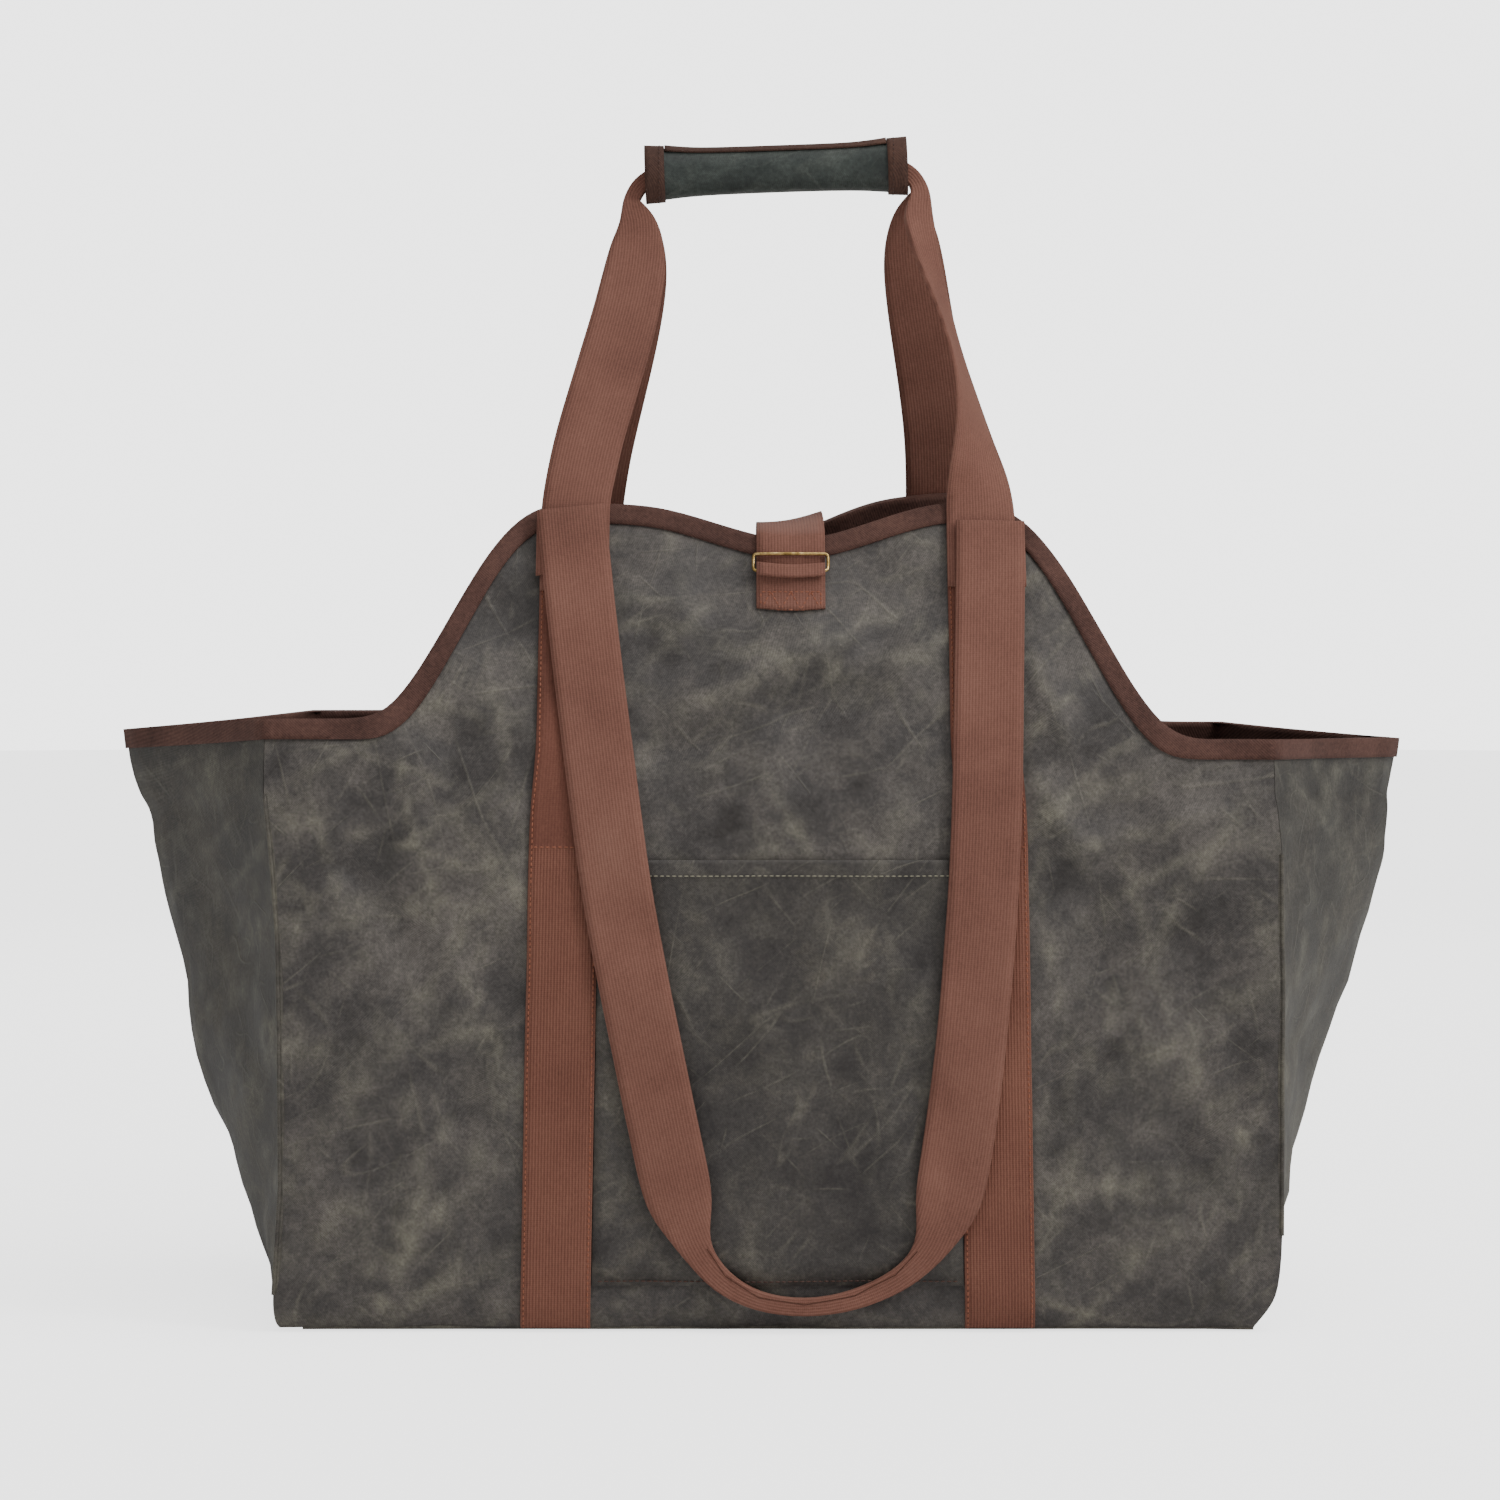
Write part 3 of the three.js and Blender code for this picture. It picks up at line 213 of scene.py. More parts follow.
# Long folds that show, in mm across and above the underside: start, end, half width, depth
longFolds = {
    "front": [
        ((-78, 312), (-8, 336), 16, -4.5),
        ((-8, 336), (58, 350), 17, -4),
        ((-50, 338), (66, 392), 19, 5.5),
        ((-88, 402), (-44, 392), 17, 4),
        ((44, 372), (88, 404), 15, -3.5),
        ((-242, 262), (-196, 214), 15, -4),
        ((-228, 158), (-168, 196), 17, 4.5),
        ((-250, 128), (-196, 158), 15, 4),
        ((-204, 262), (-146, 302), 18, 4.5),
        ((-262, 300), (-206, 330), 15, 3.5),
        ((-180, 108), (-142, 190), 14, -3.5),
        ((-252, 60), (-168, 92), 15, 3),
        ((136, 308), (170, 248), 16, 4),
        ((152, 196), (246, 232), 17, -4.5),
        ((158, 262), (236, 282), 16, 4),
        ((150, 118), (212, 158), 16, 4.5),
        ((206, 92), (262, 150), 15, -4),
        ((150, 64), (240, 48), 14, 3),
        ((140, 366), (158, 318), 14, 3.5),
        ((-62, 176), (-10, 224), 16, 2.6),
        ((4, 118), (52, 160), 15, -2.4),
    ],
    "back": [
        ((-70, 360), (40, 392), 20, 5),
        ((-30, 330), (80, 322), 18, -4),
        ((-236, 250), (-150, 300), 18, 5),
        ((-250, 170), (-160, 210), 17, -4),
        ((-210, 80), (-150, 140), 16, 4),
        ((150, 300), (236, 250), 18, 5),
        ((160, 190), (250, 220), 16, -4),
        ((150, 90), (230, 130), 17, 4),
        ((-60, 240), (50, 272), 18, 4),
        ((-40, 120), (60, 172), 18, -4),
    ],
}

# Folds of an end, in mm along Y and above the underside, as above
endFolds = {
    "left": [
        ((-120, 196), (-20, 236), 17, -4),
        ((-96, 118), (-30, 168), 16, 4.5),
        ((30, 226), (112, 176), 17, 4),
        ((40, 112), (100, 150), 15, -3.5),
        ((-110, 282), (-50, 252), 14, 3),
    ],
    "right": [
        ((-118, 238), (-30, 204), 17, 4.5),
        ((-100, 170), (-24, 132), 16, -4),
        ((-90, 84), (-40, 60), 14, 3.5),
        ((34, 252), (110, 216), 16, 4),
        ((30, 150), (104, 182), 16, -4),
    ],
}


# Where the cloth moves and where it is held, as two distances in mm out from the middle or up
# from the underside, or as a middle and a half width, with the share of the movement held back
held = {
    "panel": (28, 62), "end": (250, 276),      # out from here a panel or an end moves
    "handles": (446, 520),                     # up from here nothing does
    "base": (4, 40), "baseShare": 0.65,
    "strap": (119, 30), "strapShare": 0.7,
    "seam": (272, 16), "seamShare": 0.55,
    "corner": (262, 280), "cornerShare": 0.8,
    "endTop": (300, 326), "endTopShare": 0.7,
    "endEdge": (112, 134), "endEdgeShare": 0.6,
}


def softNoise(points, spacing, seed):
    shift = Vector((seed * 3.17, seed * 5.71, seed * 7.93))
    return np.array([noise.noise(Vector(point) / spacing + shift) for point in points])


def crumpled(across, up, seed):
    # returns how far the cloth moves in mm, and how much each place is rubbed on a crest
    flat = np.column_stack([across, up, np.zeros(len(across))])
    moved = np.zeros(len(across))
    rubbed = np.zeros(len(across))
    for number, (turn, spacing, depth) in enumerate(crumple["waves"]):
        angle = math.radians(turn)
        bend = softNoise(flat, crumple["bendSpacing"], seed + number * 2.3) * crumple["bend"]
        patch = softNoise(flat, crumple["patchSpacing"], seed + 40 + number * 1.7)
        patch = np.clip(patch * 2.6 + 0.25, 0, 1)
        phase = (up * math.cos(angle) - across * math.sin(angle)) / spacing + bend
        saw = np.abs(phase - np.floor(phase) - 0.5) * 2
        crest = np.sqrt(saw * saw + crumple["crest"] ** 2)
        moved += depth * patch * (0.5 - crest)
        rubbed += patch * np.exp(-(saw / 0.1) ** 2)
    return moved, rubbed


def alongFolds(across, up, folds):
    moved = np.zeros(len(across))
    rubbed = np.zeros(len(across))
    for start, end, width, depth in folds:
        length = math.dist(start, end)
        sideways = np.array([end[0] - start[0], end[1] - start[1]]) / length
        x = across - start[0]
        z = up - start[1]
        run = (x * sideways[0] + z * sideways[1]) / length
        off = np.abs(z * sideways[0] - x * sideways[1]) / width
        reach = easeStep(-0.22, 0.25, run) * (1 - easeStep(0.75, 1.22, run))
        tent = np.exp(-np.sqrt(off * off + 0.06) * 1.9) * 1.5
        moved += depth * reach * tent * (1 - easeStep(1.6, 2.6, off))
        if depth > 0:
            rubbed += reach * np.exp(-(off / 0.2) ** 2) * 0.9
    return moved, rubbed


def hangOfCloth(points):
    # one smooth warp of space for every piece, so the layers stay apart
    points = points / mm
    x, y = points[:, 0], points[:, 1]
    up = points[:, 2] - underside
    moved = np.zeros_like(points)
    rubbed = np.zeros(len(points))
    body = 1 - easeStep(*held["handles"], up)
    straps, seams = (np.exp(-((np.abs(x) - held[name][0]) / held[name][1]) ** 2)
                     for name in ("strap", "seam"))
    low = (1 - held["baseShare"]) + held["baseShare"] * easeStep(*held["base"], up)
    for side, sign, seed in (("front", -1, 3), ("back", 1, 21)):
        near = easeStep(*held["panel"], y * sign) * body
        chosen = near > 0
        if chosen.any():
            push, rub = crumpled(x[chosen], up[chosen], seed)
            foldPush, foldRub = alongFolds(x[chosen], up[chosen], longFolds[side])
            calm = (1 - held["strapShare"] * straps[chosen]) * (1 - held["seamShare"] * seams[chosen])
            calm *= low[chosen] * (
                1 - easeStep(*held["corner"], np.abs(x[chosen])) * held["cornerShare"])
            moved[chosen, 1] += sign * near[chosen] * calm * (
                push * crumple["panelShare"] + foldPush * crumple["longShare"])
            rubbed[chosen] += (rub + foldRub) * near[chosen]
    for side, sign, seed in (("left", -1, 37), ("right", 1, 53)):
        near = easeStep(*held["end"], x * sign)
        near *= 1 - easeStep(*held["endTop"], up) * held["endTopShare"]
        chosen = near > 0
        if chosen.any():
            push, rub = crumpled(y[chosen], up[chosen], seed)
            foldPush, foldRub = alongFolds(y[chosen], up[chosen], endFolds[side])
            calm = 1 - held["endEdgeShare"] * easeStep(*held["endEdge"], np.abs(y[chosen]))
            moved[chosen, 0] += sign * near[chosen] * calm * low[chosen] * (
                push * crumple["endShare"] + foldPush)
            rubbed[chosen] += (rub + foldRub) * near[chosen]
    return (points + moved) * mm, np.clip(rubbed, 0, 1.5)


def weldedCopy(node):
    # a node's mesh is loose triangles, so they are joined up first
    mesh = bmesh.new()
    mesh.from_mesh(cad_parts[node].data)
    bmesh.ops.remove_doubles(mesh, verts=mesh.verts, dist=0.02 * mm)
    return mesh


def creaseSharpEdges(mesh, least, amount=1.0):
    layer = mesh.edges.layers.float.get("crease_edge") or mesh.edges.layers.float.new("crease_edge")
    for edge in mesh.edges:
        if len(edge.link_faces) == 2 and edge.calc_face_angle(0) > math.radians(least):
            edge[layer] = amount


def smoothedMesh(mesh, name, levels):
    # joins the triangles in pairs and takes them through subdivision
    bmesh.ops.join_triangles(mesh, faces=mesh.faces, angle_face_threshold=math.radians(35),
                             angle_shape_threshold=math.radians(60))
    data = bpy.data.meshes.new(name)
    mesh.to_mesh(data)
    mesh.free()
    holder = bpy.data.objects.new(name + "Rough", data)
    bpy.context.scene.collection.objects.link(holder)
    finer = holder.modifiers.new("finer", "SUBSURF")
    finer.levels = finer.render_levels = levels
    finer.use_limit_surface = False
    bpy.context.view_layer.update()
    done = bpy.data.meshes.new_from_object(holder.evaluated_get(bpy.context.evaluated_depsgraph_get()))
    bpy.data.objects.remove(holder)
    done.name = name
    return done


def hangMesh(data):
    # moves the mesh with the hang of the cloth and keeps the rubbed crests as an attribute
    flat = np.zeros(len(data.vertices) * 3)
    data.vertices.foreach_get("co", flat)
    points, rubbed = hangOfCloth(flat.reshape(-1, 3))
    data.vertices.foreach_set("co", points.ravel())
    if "crease_edge" in data.attributes:
        data.attributes.remove(data.attributes["crease_edge"])
    layer = data.attributes.new("rubbed", "FLOAT", "POINT")
    layer.data.foreach_set("value", rubbed)
    data.update()


def addPiece(name, data, material, nodes):
    for polygon in data.polygons:
        polygon.use_smooth = True
    data.set_sharp_from_angle(angle=math.radians(50))
    data.materials.clear()
    data.materials.append(material)
    piece = bpy.data.objects.new(name, data)
    bpy.context.scene.collection.objects.link(piece)
    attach(piece, "root")
    if nodes:
        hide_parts(*nodes)
    return piece


def clothPiece(name, node, material, least=40, levels=2):
    mesh = weldedCopy(node)
    creaseSharpEdges(mesh, least)
    data = smoothedMesh(mesh, name, levels)
    hangMesh(data)
    return addPiece(name, data, material, [node])


def waxedCanvas(name, canvas):
    # Waxed cotton duck: satin and cloudy, dark where the wax lies thick, paler where it is
    # rubbed, with thin pale lines where it has been folded.
    material, add = startMaterial(name)
    place = add("TexCoord").outputs["Object"]
    place = add("Mapping", {"Location": canvas["shift"]}, {0: place})

    def perMetre(spacing):
        return 1 / (spacing * mm)

    wander = add("TexNoise", {"Scale": perMetre(34), "Detail": 4}, {"Vector": place})
    bent = add("Mix", {"data_type": "VECTOR", 0: 0.022}, {4: place, 5: wander.outputs[1]})
    bent = bent.outputs[1]
    cloud = add("TexNoise", {"Scale": perMetre(64), "Detail": 4, "Roughness": 0.6, "Distortion": 0.5},
                {"Vector": place})
    blotch = add("TexNoise", {"Scale": perMetre(17), "Detail": 6, "Roughness": 0.68, "Distortion": 0.5},
                 {"Vector": bent})
    both = add("Math", {"operation": "MULTIPLY"}, {0: blotch, 1: 0.3})
    both = add("Math", {"operation": "MULTIPLY_ADD"}, {0: cloud, 1: 0.34, 2: both})
    # slanting smears, as the wax is pushed along when the cloth is folded
    for turn, share in ((40, 0.22), (-52, 0.14)):
        turned = add("Mapping", {"Rotation": (0, math.radians(turn), 0)}, {0: bent})
        drawn = add("Mapping", {"Scale": (0.3, 0.6, 1)}, {0: turned})
        smear = add("TexNoise", {"Scale": perMetre(20), "Detail": 4, "Roughness": 0.6},
                    {"Vector": drawn})
        both = add("Math", {"operation": "MULTIPLY_ADD"}, {0: smear, 1: share, 2: both})
    colour = add("ValToRGB", {"stops": [
        (0.41, canvas["thick"]), (0.48, canvas["plain"]), (0.54, canvas["worn"]),
        (0.62, canvas["pale"])]}, {0: both})

    # a loose net of soft pale smudges where the cloth has been crumpled
    net = add("TexVoronoi", {"feature": "DISTANCE_TO_EDGE", "Scale": perMetre(42), "Randomness": 1.0},
              {"Vector": bent})
    net = add("ValToRGB", {"stops": [(0.0, 1.0), (0.07, 0.4), (0.24, 0.0)]}, {0: net})
    faded = add("TexNoise", {"Scale": perMetre(26), "Detail": 4}, {"Vector": place})
    faded = add("ValToRGB", {"stops": [(0.42, 0.0), (0.66, 1.0)]}, {0: faded})
    net = add("Math", {"operation": "MULTIPLY"}, {0: net, 1: faded})
    net = add("Math", {"operation": "MULTIPLY"}, {0: net, 1: 0.4})
    colour = add("Mix", {"data_type": "RGBA"}, {0: net, 6: colour, 7: canvas["pale"]}).outputs[2]

    # thin fold lines that run nearly straight, some in each direction
    lines = None
    for turn, spacing, spot in ((26, 24, 0.3), (-44, 30, 1.1), (72, 27, 2.7), (-74, 34, 4.2),
                                (6, 31, 5.9), (48, 22, 7.3)):
        turned = add("Mapping", {"Rotation": (0, math.radians(turn), 0), "Location": (spot, spot, spot)},
                     {0: place})
        drawn = add("Mapping", {"Scale": (0.16, 0.6, 1)}, {0: turned})
        streak = add("TexNoise", {"Scale": perMetre(spacing), "Detail": 1, "Roughness": 0.2},
                     {"Vector": drawn})
        streak = add("ValToRGB", {"stops": [(0.484, 0.0), (0.5, 1.0), (0.516, 0.0)]}, {0: streak})
        patch = add("TexNoise", {"Scale": perMetre(30), "Detail": 3}, {"Vector": turned})
        patch = add("ValToRGB", {"stops": [(0.5, 0.0), (0.66, 1.0)]}, {0: patch})
        streak = add("Math", {"operation": "MULTIPLY"}, {0: streak, 1: patch})
        lines = streak if lines is None else add("Math", {"operation": "MAXIMUM"}, {0: lines, 1: streak})
    scaledLines = add("Math", {"operation": "MULTIPLY"}, {0: lines, 1: canvas["lineShare"]})
    colour = add("Mix", {"data_type": "RGBA"},
                 {0: scaledLines, 6: colour, 7: canvas["rubbed"]}).outputs[2]

    # crests of the modelled folds
    crest = add("Attribute", {"attribute_name": "rubbed"}).outputs["Fac"]
    broken = add("TexNoise", {"Scale": perMetre(14), "Detail": 4}, {"Vector": bent})
    broken = add("ValToRGB", {"stops": [(0.35, 0.1), (0.65, 0.8)]}, {0: broken})
    crest = add("Math", {"operation": "MULTIPLY"}, {0: crest, 1: broken})
    crest = add("Math", {"operation": "MULTIPLY"}, {0: crest, 1: canvas["crestShare"]})
    colour = add("Mix", {"data_type": "RGBA"}, {0: crest, 6: colour, 7: canvas["rubbed"]}).outputs[2]

    # threads: about 0.55 mm in the real cloth, drawn at 1.2 mm, the finest that shows
    parts = add("SeparateXYZ", links={0: place})
    sideways = add("Math", {"operation": "ADD"}, {0: parts.outputs[0], 1: parts.outputs[1]})
    thread = perMetre(1.2) * 2 * math.pi
    warp = add("Math", {"operation": "MULTIPLY"}, {0: sideways, 1: thread})
    warp = add("Math", {"operation": "SINE"}, {0: warp})
    weft = add("Math", {"operation": "MULTIPLY"}, {0: parts.outputs[2], 1: thread})
    weft = add("Math", {"operation": "SINE"}, {0: weft})
    weave = add("Math", {"operation": "MULTIPLY"}, {0: warp, 1: weft})
    slub = add("TexNoise", {"Scale": perMetre(2.2), "Detail": 4, "Roughness": 0.8}, {"Vector": place})
    grain = add("Math", {"operation": "MULTIPLY_ADD"}, {0: weave, 1: 0.1, 2: slub})
    grained = add("ValToRGB", {"stops": [(0.25, 0.5), (0.5, 0.95), (0.8, 1.6)]}, {0: grain})
    colour = add("Mix", {"data_type": "RGBA", "blend_type": "MULTIPLY"},
                 {0: 0.95, 6: colour, 7: grained}).outputs[2]

    height = add("Math", {"operation": "MULTIPLY"}, {0: grain, 1: 0.22 * mm})
    height = add("Math", {"operation": "MULTIPLY_ADD"}, {0: both, 1: 0.9 * mm, 2: height})
    height = add("Math", {"operation": "MULTIPLY_ADD"}, {0: lines, 1: 0.25 * mm, 2: height})
    bump = add("Bump", {"Strength": 0.8, "Distance": 1.0}, {"Height": height})
    rough = add("ValToRGB", {"stops": [(0.38, 0.5), (0.62, 0.74)]}, {0: both})
    shader = add("BsdfPrincipled", {
        "IOR": 1.46, "Specular IOR Level": 0.42, "Sheen Weight": 0.12, "Sheen Roughness": 0.5,
        "Sheen Tint": linearColour("#a8a594")},
        {"Base Color": colour, "Roughness": rough, "Normal": bump})
    finishMaterial(add, shader)
    return material


canvasTones = {
    "thick": "#393533", "plain": "#484442", "worn": "#57524e", "pale": "#6a645f", "rubbed": "#8a8576",
    "shift": (0, 0, 0), "crestShare": 0.55, "lineShare": 0.24,
}
panelCanvas = waxedCanvas("waxed cotton duck, panels", canvasTones)
backCanvas = waxedCanvas("waxed cotton duck, back", {**canvasTones, "shift": (0.7, 0.2, 0.4)})
# the ends: the same canvas painted darker, as painted shade for ends that turn away from the light
shadedEndCanvas = waxedCanvas("waxed cotton duck, ends, painted shade", {
    **canvasTones, "shift": (0.3, 1.1, 0.9), "thick": "#2e2b29", "plain": "#393634", "worn": "#45413d",
    "pale": "#55514b", "rubbed": "#737064"})
baseCanvas = waxedCanvas(
    "waxed cotton duck, base", {**canvasTones, "shift": (1.9, 0.4, 0.2), "crestShare": 0.2})
pocketCanvas = waxedCanvas("waxed cotton duck, pocket", {
    **canvasTones, "shift": (2.3, 0.6, 1.4), "thick": "#34302f", "plain": "#403c3a", "worn": "#4a4643",
    "pale": "#5a554e", "crestShare": 0.3})

# flat sizes in metres: width, length and the area of the cut
panels = {
    "frontPanel": {"node": "front_panel", "material": panelCanvas, "flat": (0.575, 0.47), "area": 0.222},
    "backPanel": {"node": "back_panel", "material": backCanvas, "flat": (0.575, 0.47), "area": 0.223},
}
ends = {
    "leftEnd": {"node": "end_gusset_left", "flat": (0.34, 0.34), "area": 0.1},
    "rightEnd": {"node": "end_gusset_right", "flat": (0.34, 0.34), "area": 0.096},
}
for name, panel in panels.items():
    piece = clothPiece(name, panel["node"], panel["material"])
for name, end in ends.items():
    piece = clothPiece(name, end["node"], shadedEndCanvas)
basePiece = clothPiece("basePanel", "base_panel", baseCanvas)
pocketPiece = clothPiece("frontPocket", "front_pocket", pocketCanvas)
print("canvas")


leastWidth = 8 * mm   # corners closer than this are of one edge of a strip


def stripRings(mesh):
    # A strip's cross sections in order, six corners each. They are found by walking the
    # mesh from one end, because every edge joins a section to itself or to the next.
    def spread(starts):
        seen = {vert: 0 for vert in starts}
        wave = list(starts)
        while wave:
            coming = []
            for vert in wave:
                for edge in vert.link_edges:
                    other = edge.other_vert(vert)
                    if other not in seen:
                        seen[other] = seen[vert] + 1
                        coming.append(other)
            wave = coming
        return seen

    mesh.verts.ensure_lookup_table()
    mesh.verts.index_update()
    reach = spread([mesh.verts[0]])
    tip = max(reach, key=lambda vert: (reach[vert], -vert.index))

    def sharpNeighbours(vert):
        return [edge.other_vert(vert) for edge in vert.link_edges
                if edge.calc_face_angle(0) > math.radians(60)]

    def sharedMiddle(first, second):
        # the vertex halfway between two corners of an end, with how far off halfway it is
        linked = {edge.other_vert(first) for edge in first.link_edges}
        linked &= {edge.other_vert(second) for edge in second.link_edges}
        halfWay = (first.co + second.co) / 2
        return min((((vert.co - halfWay).length, vert.index) for vert in linked), default=(1, -1))

    corner = tip if len(sharpNeighbours(tip)) >= 3 else min(
        (edge.other_vert(tip) for edge in tip.link_edges), key=lambda vert: -len(sharpNeighbours(vert)))
    others = [other for near in sharpNeighbours(corner) for other in sharpNeighbours(near)
              if other != corner and len(sharpNeighbours(other)) >= 3
              and (other.co - corner.co).length > leastWidth]
    farCorner = min(
        others, key=lambda other: sharedMiddle(corner, other)[0] / (other.co - corner.co).length)
    end = [corner, farCorner]
    for vert in (corner, farCorner):
        end.append(min(sharpNeighbours(vert), key=lambda other: (other.co - vert.co).length))
    end += [mesh.verts[sharedMiddle(end[place], end[place + 1])[1]] for place in (0, 2)]
    reach = spread(end)
    rings = [[] for _ in range(max(reach.values()) + 1)]
    for vert, place in reach.items():
        rings[place].append(vert)
    return rings


def orderRings(rings):
    # puts each section's corners in the order of the one before
    across = max(itertools.combinations(rings[0], 2), key=lambda pair: (pair[0].co - pair[1].co).length)
    side = (across[1].co - across[0].co).normalized()
    middle = sum((vert.co for vert in rings[0]), Vector()) / 6
    low = sorted(rings[0], key=lambda vert: (vert.co - middle).dot(side))
    pairs = [low[0:2], low[2:4], low[4:6]]
    up = side.cross(rings[0][0].co - rings[1][0].co).normalized()
    pairs = [sorted(pair, key=lambda vert: (vert.co - middle).dot(up)) for pair in pairs]
    ordered = [[vert for pair in pairs for vert in pair]]
    for ring in rings[1:]:
        before = ordered[-1]
        oldMiddle = sum((vert.co for vert in before), Vector()) / 6
        newMiddle = sum((vert.co for vert in ring), Vector()) / 6
        cost = [[((new.co - newMiddle) - (old.co - oldMiddle)).length for new in ring] for old in before]
        best = min(itertools.permutations(range(6)), key=lambda order: sum(
            cost[place][order[place]] for place in range(6)))
        ordered.append([ring[place] for place in best])
    return ordered


def stripSections(mesh):
    # centre, direction across, half width, normal and run of each section, with its corners
    sections = []
    run = 0.0
    for ring in orderRings(stripRings(mesh)):
        left = (ring[0].co + ring[1].co) / 2
        right = (ring[4].co + ring[5].co) / 2
        middle = (ring[2].co + ring[3].co) / 2
        thick = ring[3].co - ring[2].co
        if sections:
            run += (middle - sections[-1]["middle"]).length
        sections.append({"corners": ring, "middle": middle.copy(), "across": (right - left).normalized(),
                         "half": (right - left).length / 2, "normal": thick.normalized(),
                         "thick": thick.length, "run": run})
    return sections


def webbingPiece(name, node, material, levels=2, crease=0.9):
    # the weave map holds metres across from the middle and metres along
    mesh = weldedCopy(node)
    sections = stripSections(mesh)
    creaseSharpEdges(mesh, 60, crease)
    layer = mesh.loops.layers.uv.new("weave")
    places = {}
    for section in sections:
        for corner, offset in zip(section["corners"], (-1, -1, 0, 0, 1, 1)):
            places[corner] = (offset * section["half"], section["run"])
    for face in mesh.faces:
        for loop in face.loops:
            loop[layer].uv = places[loop.vert]
    for section in sections:
        section.pop("corners")
    data = smoothedMesh(mesh, name, levels)
    hangMesh(data)
    return addPiece(name, data, material, [node]), sections


def wovenWebbing(name, webbing):
    # Cotton webbing woven with ribs along its length: matt, each rib catching light on its crown
    material, add = startMaterial(name)
    place = add("UVMap", {"uv_map": "weave"})
    parts = add("SeparateXYZ", links={0: place})
    spot = add("TexCoord").outputs["Object"]
    ripple = add("TexNoise", {"Scale": 1 / (9 * mm), "Detail": 2}, {"Vector": spot})
    ripple = add("Math", {"operation": "MULTIPLY"}, {0: ripple, 1: 0.25 * mm})
    ribs = add("Math", {"operation": "ADD"}, {0: parts.outputs[0], 1: ripple})
    ribs = add("Math", {"operation": "MULTIPLY"}, {0: ribs, 1: 2 * math.pi / (webbing["rib"] * mm)})
    ribs = add("Math", {"operation": "SINE"}, {0: ribs})
    ribs = add("Math", {"operation": "MULTIPLY_ADD"}, {0: ribs, 1: 0.5, 2: 0.5})
    picks = add("Math", {"operation": "MULTIPLY"},
                {0: parts.outputs[1], 1: 2 * math.pi / (webbing["pick"] * mm)})
    picks = add("Math", {"operation": "SINE"}, {0: picks})
    picks = add("Math", {"operation": "MULTIPLY_ADD"}, {0: picks, 1: 0.5, 2: 0.5})
    fuzz = add("TexNoise", {"Scale": 1 / (1.6 * mm), "Detail": 4, "Roughness": 0.75}, {"Vector": spot})
    wear = add("TexNoise", {"Scale": 1 / (55 * mm), "Detail": 4, "Roughness": 0.6}, {"Vector": spot})
    height = add("Math", {"operation": "MULTIPLY"}, {0: picks, 1: 0.25})
    height = add("Math", {"operation": "MULTIPLY_ADD"}, {0: ribs, 1: 0.75, 2: height})
    # above this height the ribs are flatter and the webbing darker
    heights = add("SeparateXYZ", links={0: spot}).outputs[2]
    start = (underside + webbing["smoothAbove"]) * mm
    smooth = add("MapRange", {1: start - 2 * mm, 2: start + 2 * mm, 3: 1.0, 4: 0.3}, {0: heights})
    height = add("Math", {"operation": "MULTIPLY"}, {0: height, 1: smooth.outputs[0]})
    # the rib relief also sets the colour: painted shade in the grooves and painted highlight on the
    # crowns
    tone = add("Math", {"operation": "MULTIPLY"}, {0: fuzz, 1: 0.4})
    tone = add("Math", {"operation": "MULTIPLY_ADD"}, {0: height, 1: webbing["ribTone"], 2: tone})
    tone = add("Math", {"operation": "MULTIPLY_ADD"}, {0: wear, 1: 0.5, 2: tone})
    colour = add("ValToRGB", {
        "stops": [(0.3, webbing["groove"]), (0.55, webbing["plain"]), (0.85, webbing["crown"])]},
        {0: tone})
    lift = add("Math", {"operation": "MULTIPLY"}, {0: fuzz, 1: 0.12 * mm})
    lift = add("Math", {"operation": "MULTIPLY_ADD"}, {0: height, 1: webbing["relief"] * mm, 2: lift})
    bump = add("Bump", {"Strength": 0.7, "Distance": 1.0}, {"Height": lift})
    shader = add("BsdfPrincipled", {
        "Roughness": 0.82, "IOR": 1.5, "Specular IOR Level": 0.3, "Sheen Weight": 0.22,
        "Sheen Roughness": 0.45, "Sheen Tint": linearColour("#c79a86")},
        {"Base Color": colour, "Normal": bump})
    finishMaterial(add, shader)
    return material


webbingTones = {
    "rib": 1.7,        # mm between ribs
    "pick": 1.1,       # mm between cross threads, drawn coarser than real
    "ribTone": 0.22, "relief": 0.28, "smoothAbove": 900,
    "groove": "#613e34", "plain": "#7f5548", "crown": "#946a5b",
}
handleWebbing = wovenWebbing("ribbed cotton webbing, handles", webbingTones)
girthWebbing = wovenWebbing("ribbed cotton webbing, sewn down", {
    **webbingTones, "ribTone": 0.34, "relief": 0.36, "smoothAbove": 264,
    "groove": "#573429", "plain": "#75493c", "crown": "#8d604f"})

stripPieces = {}
for name, node, material in (
        ("girthStrapLeft", "girth_strap_left", girthWebbing),
        ("girthStrapRight", "girth_strap_right", girthWebbing),
        ("carryHandleFront", "carry_handle_front", handleWebbing),
        ("carryHandleBack", "carry_handle_back", handleWebbing),
        ("shoulderHandleFront", "shoulder_handle_front", handleWebbing),
        ("shoulderHandleBack", "shoulder_handle_back", handleWebbing),
        ("closureStrap", "closure_strap", handleWebbing),
        ("closureTab", "closure_tab", handleWebbing)):
    stripPieces[name] = webbingPiece(name, node, material)
    print("webbing", name, len(stripPieces[name][1]), "sections")


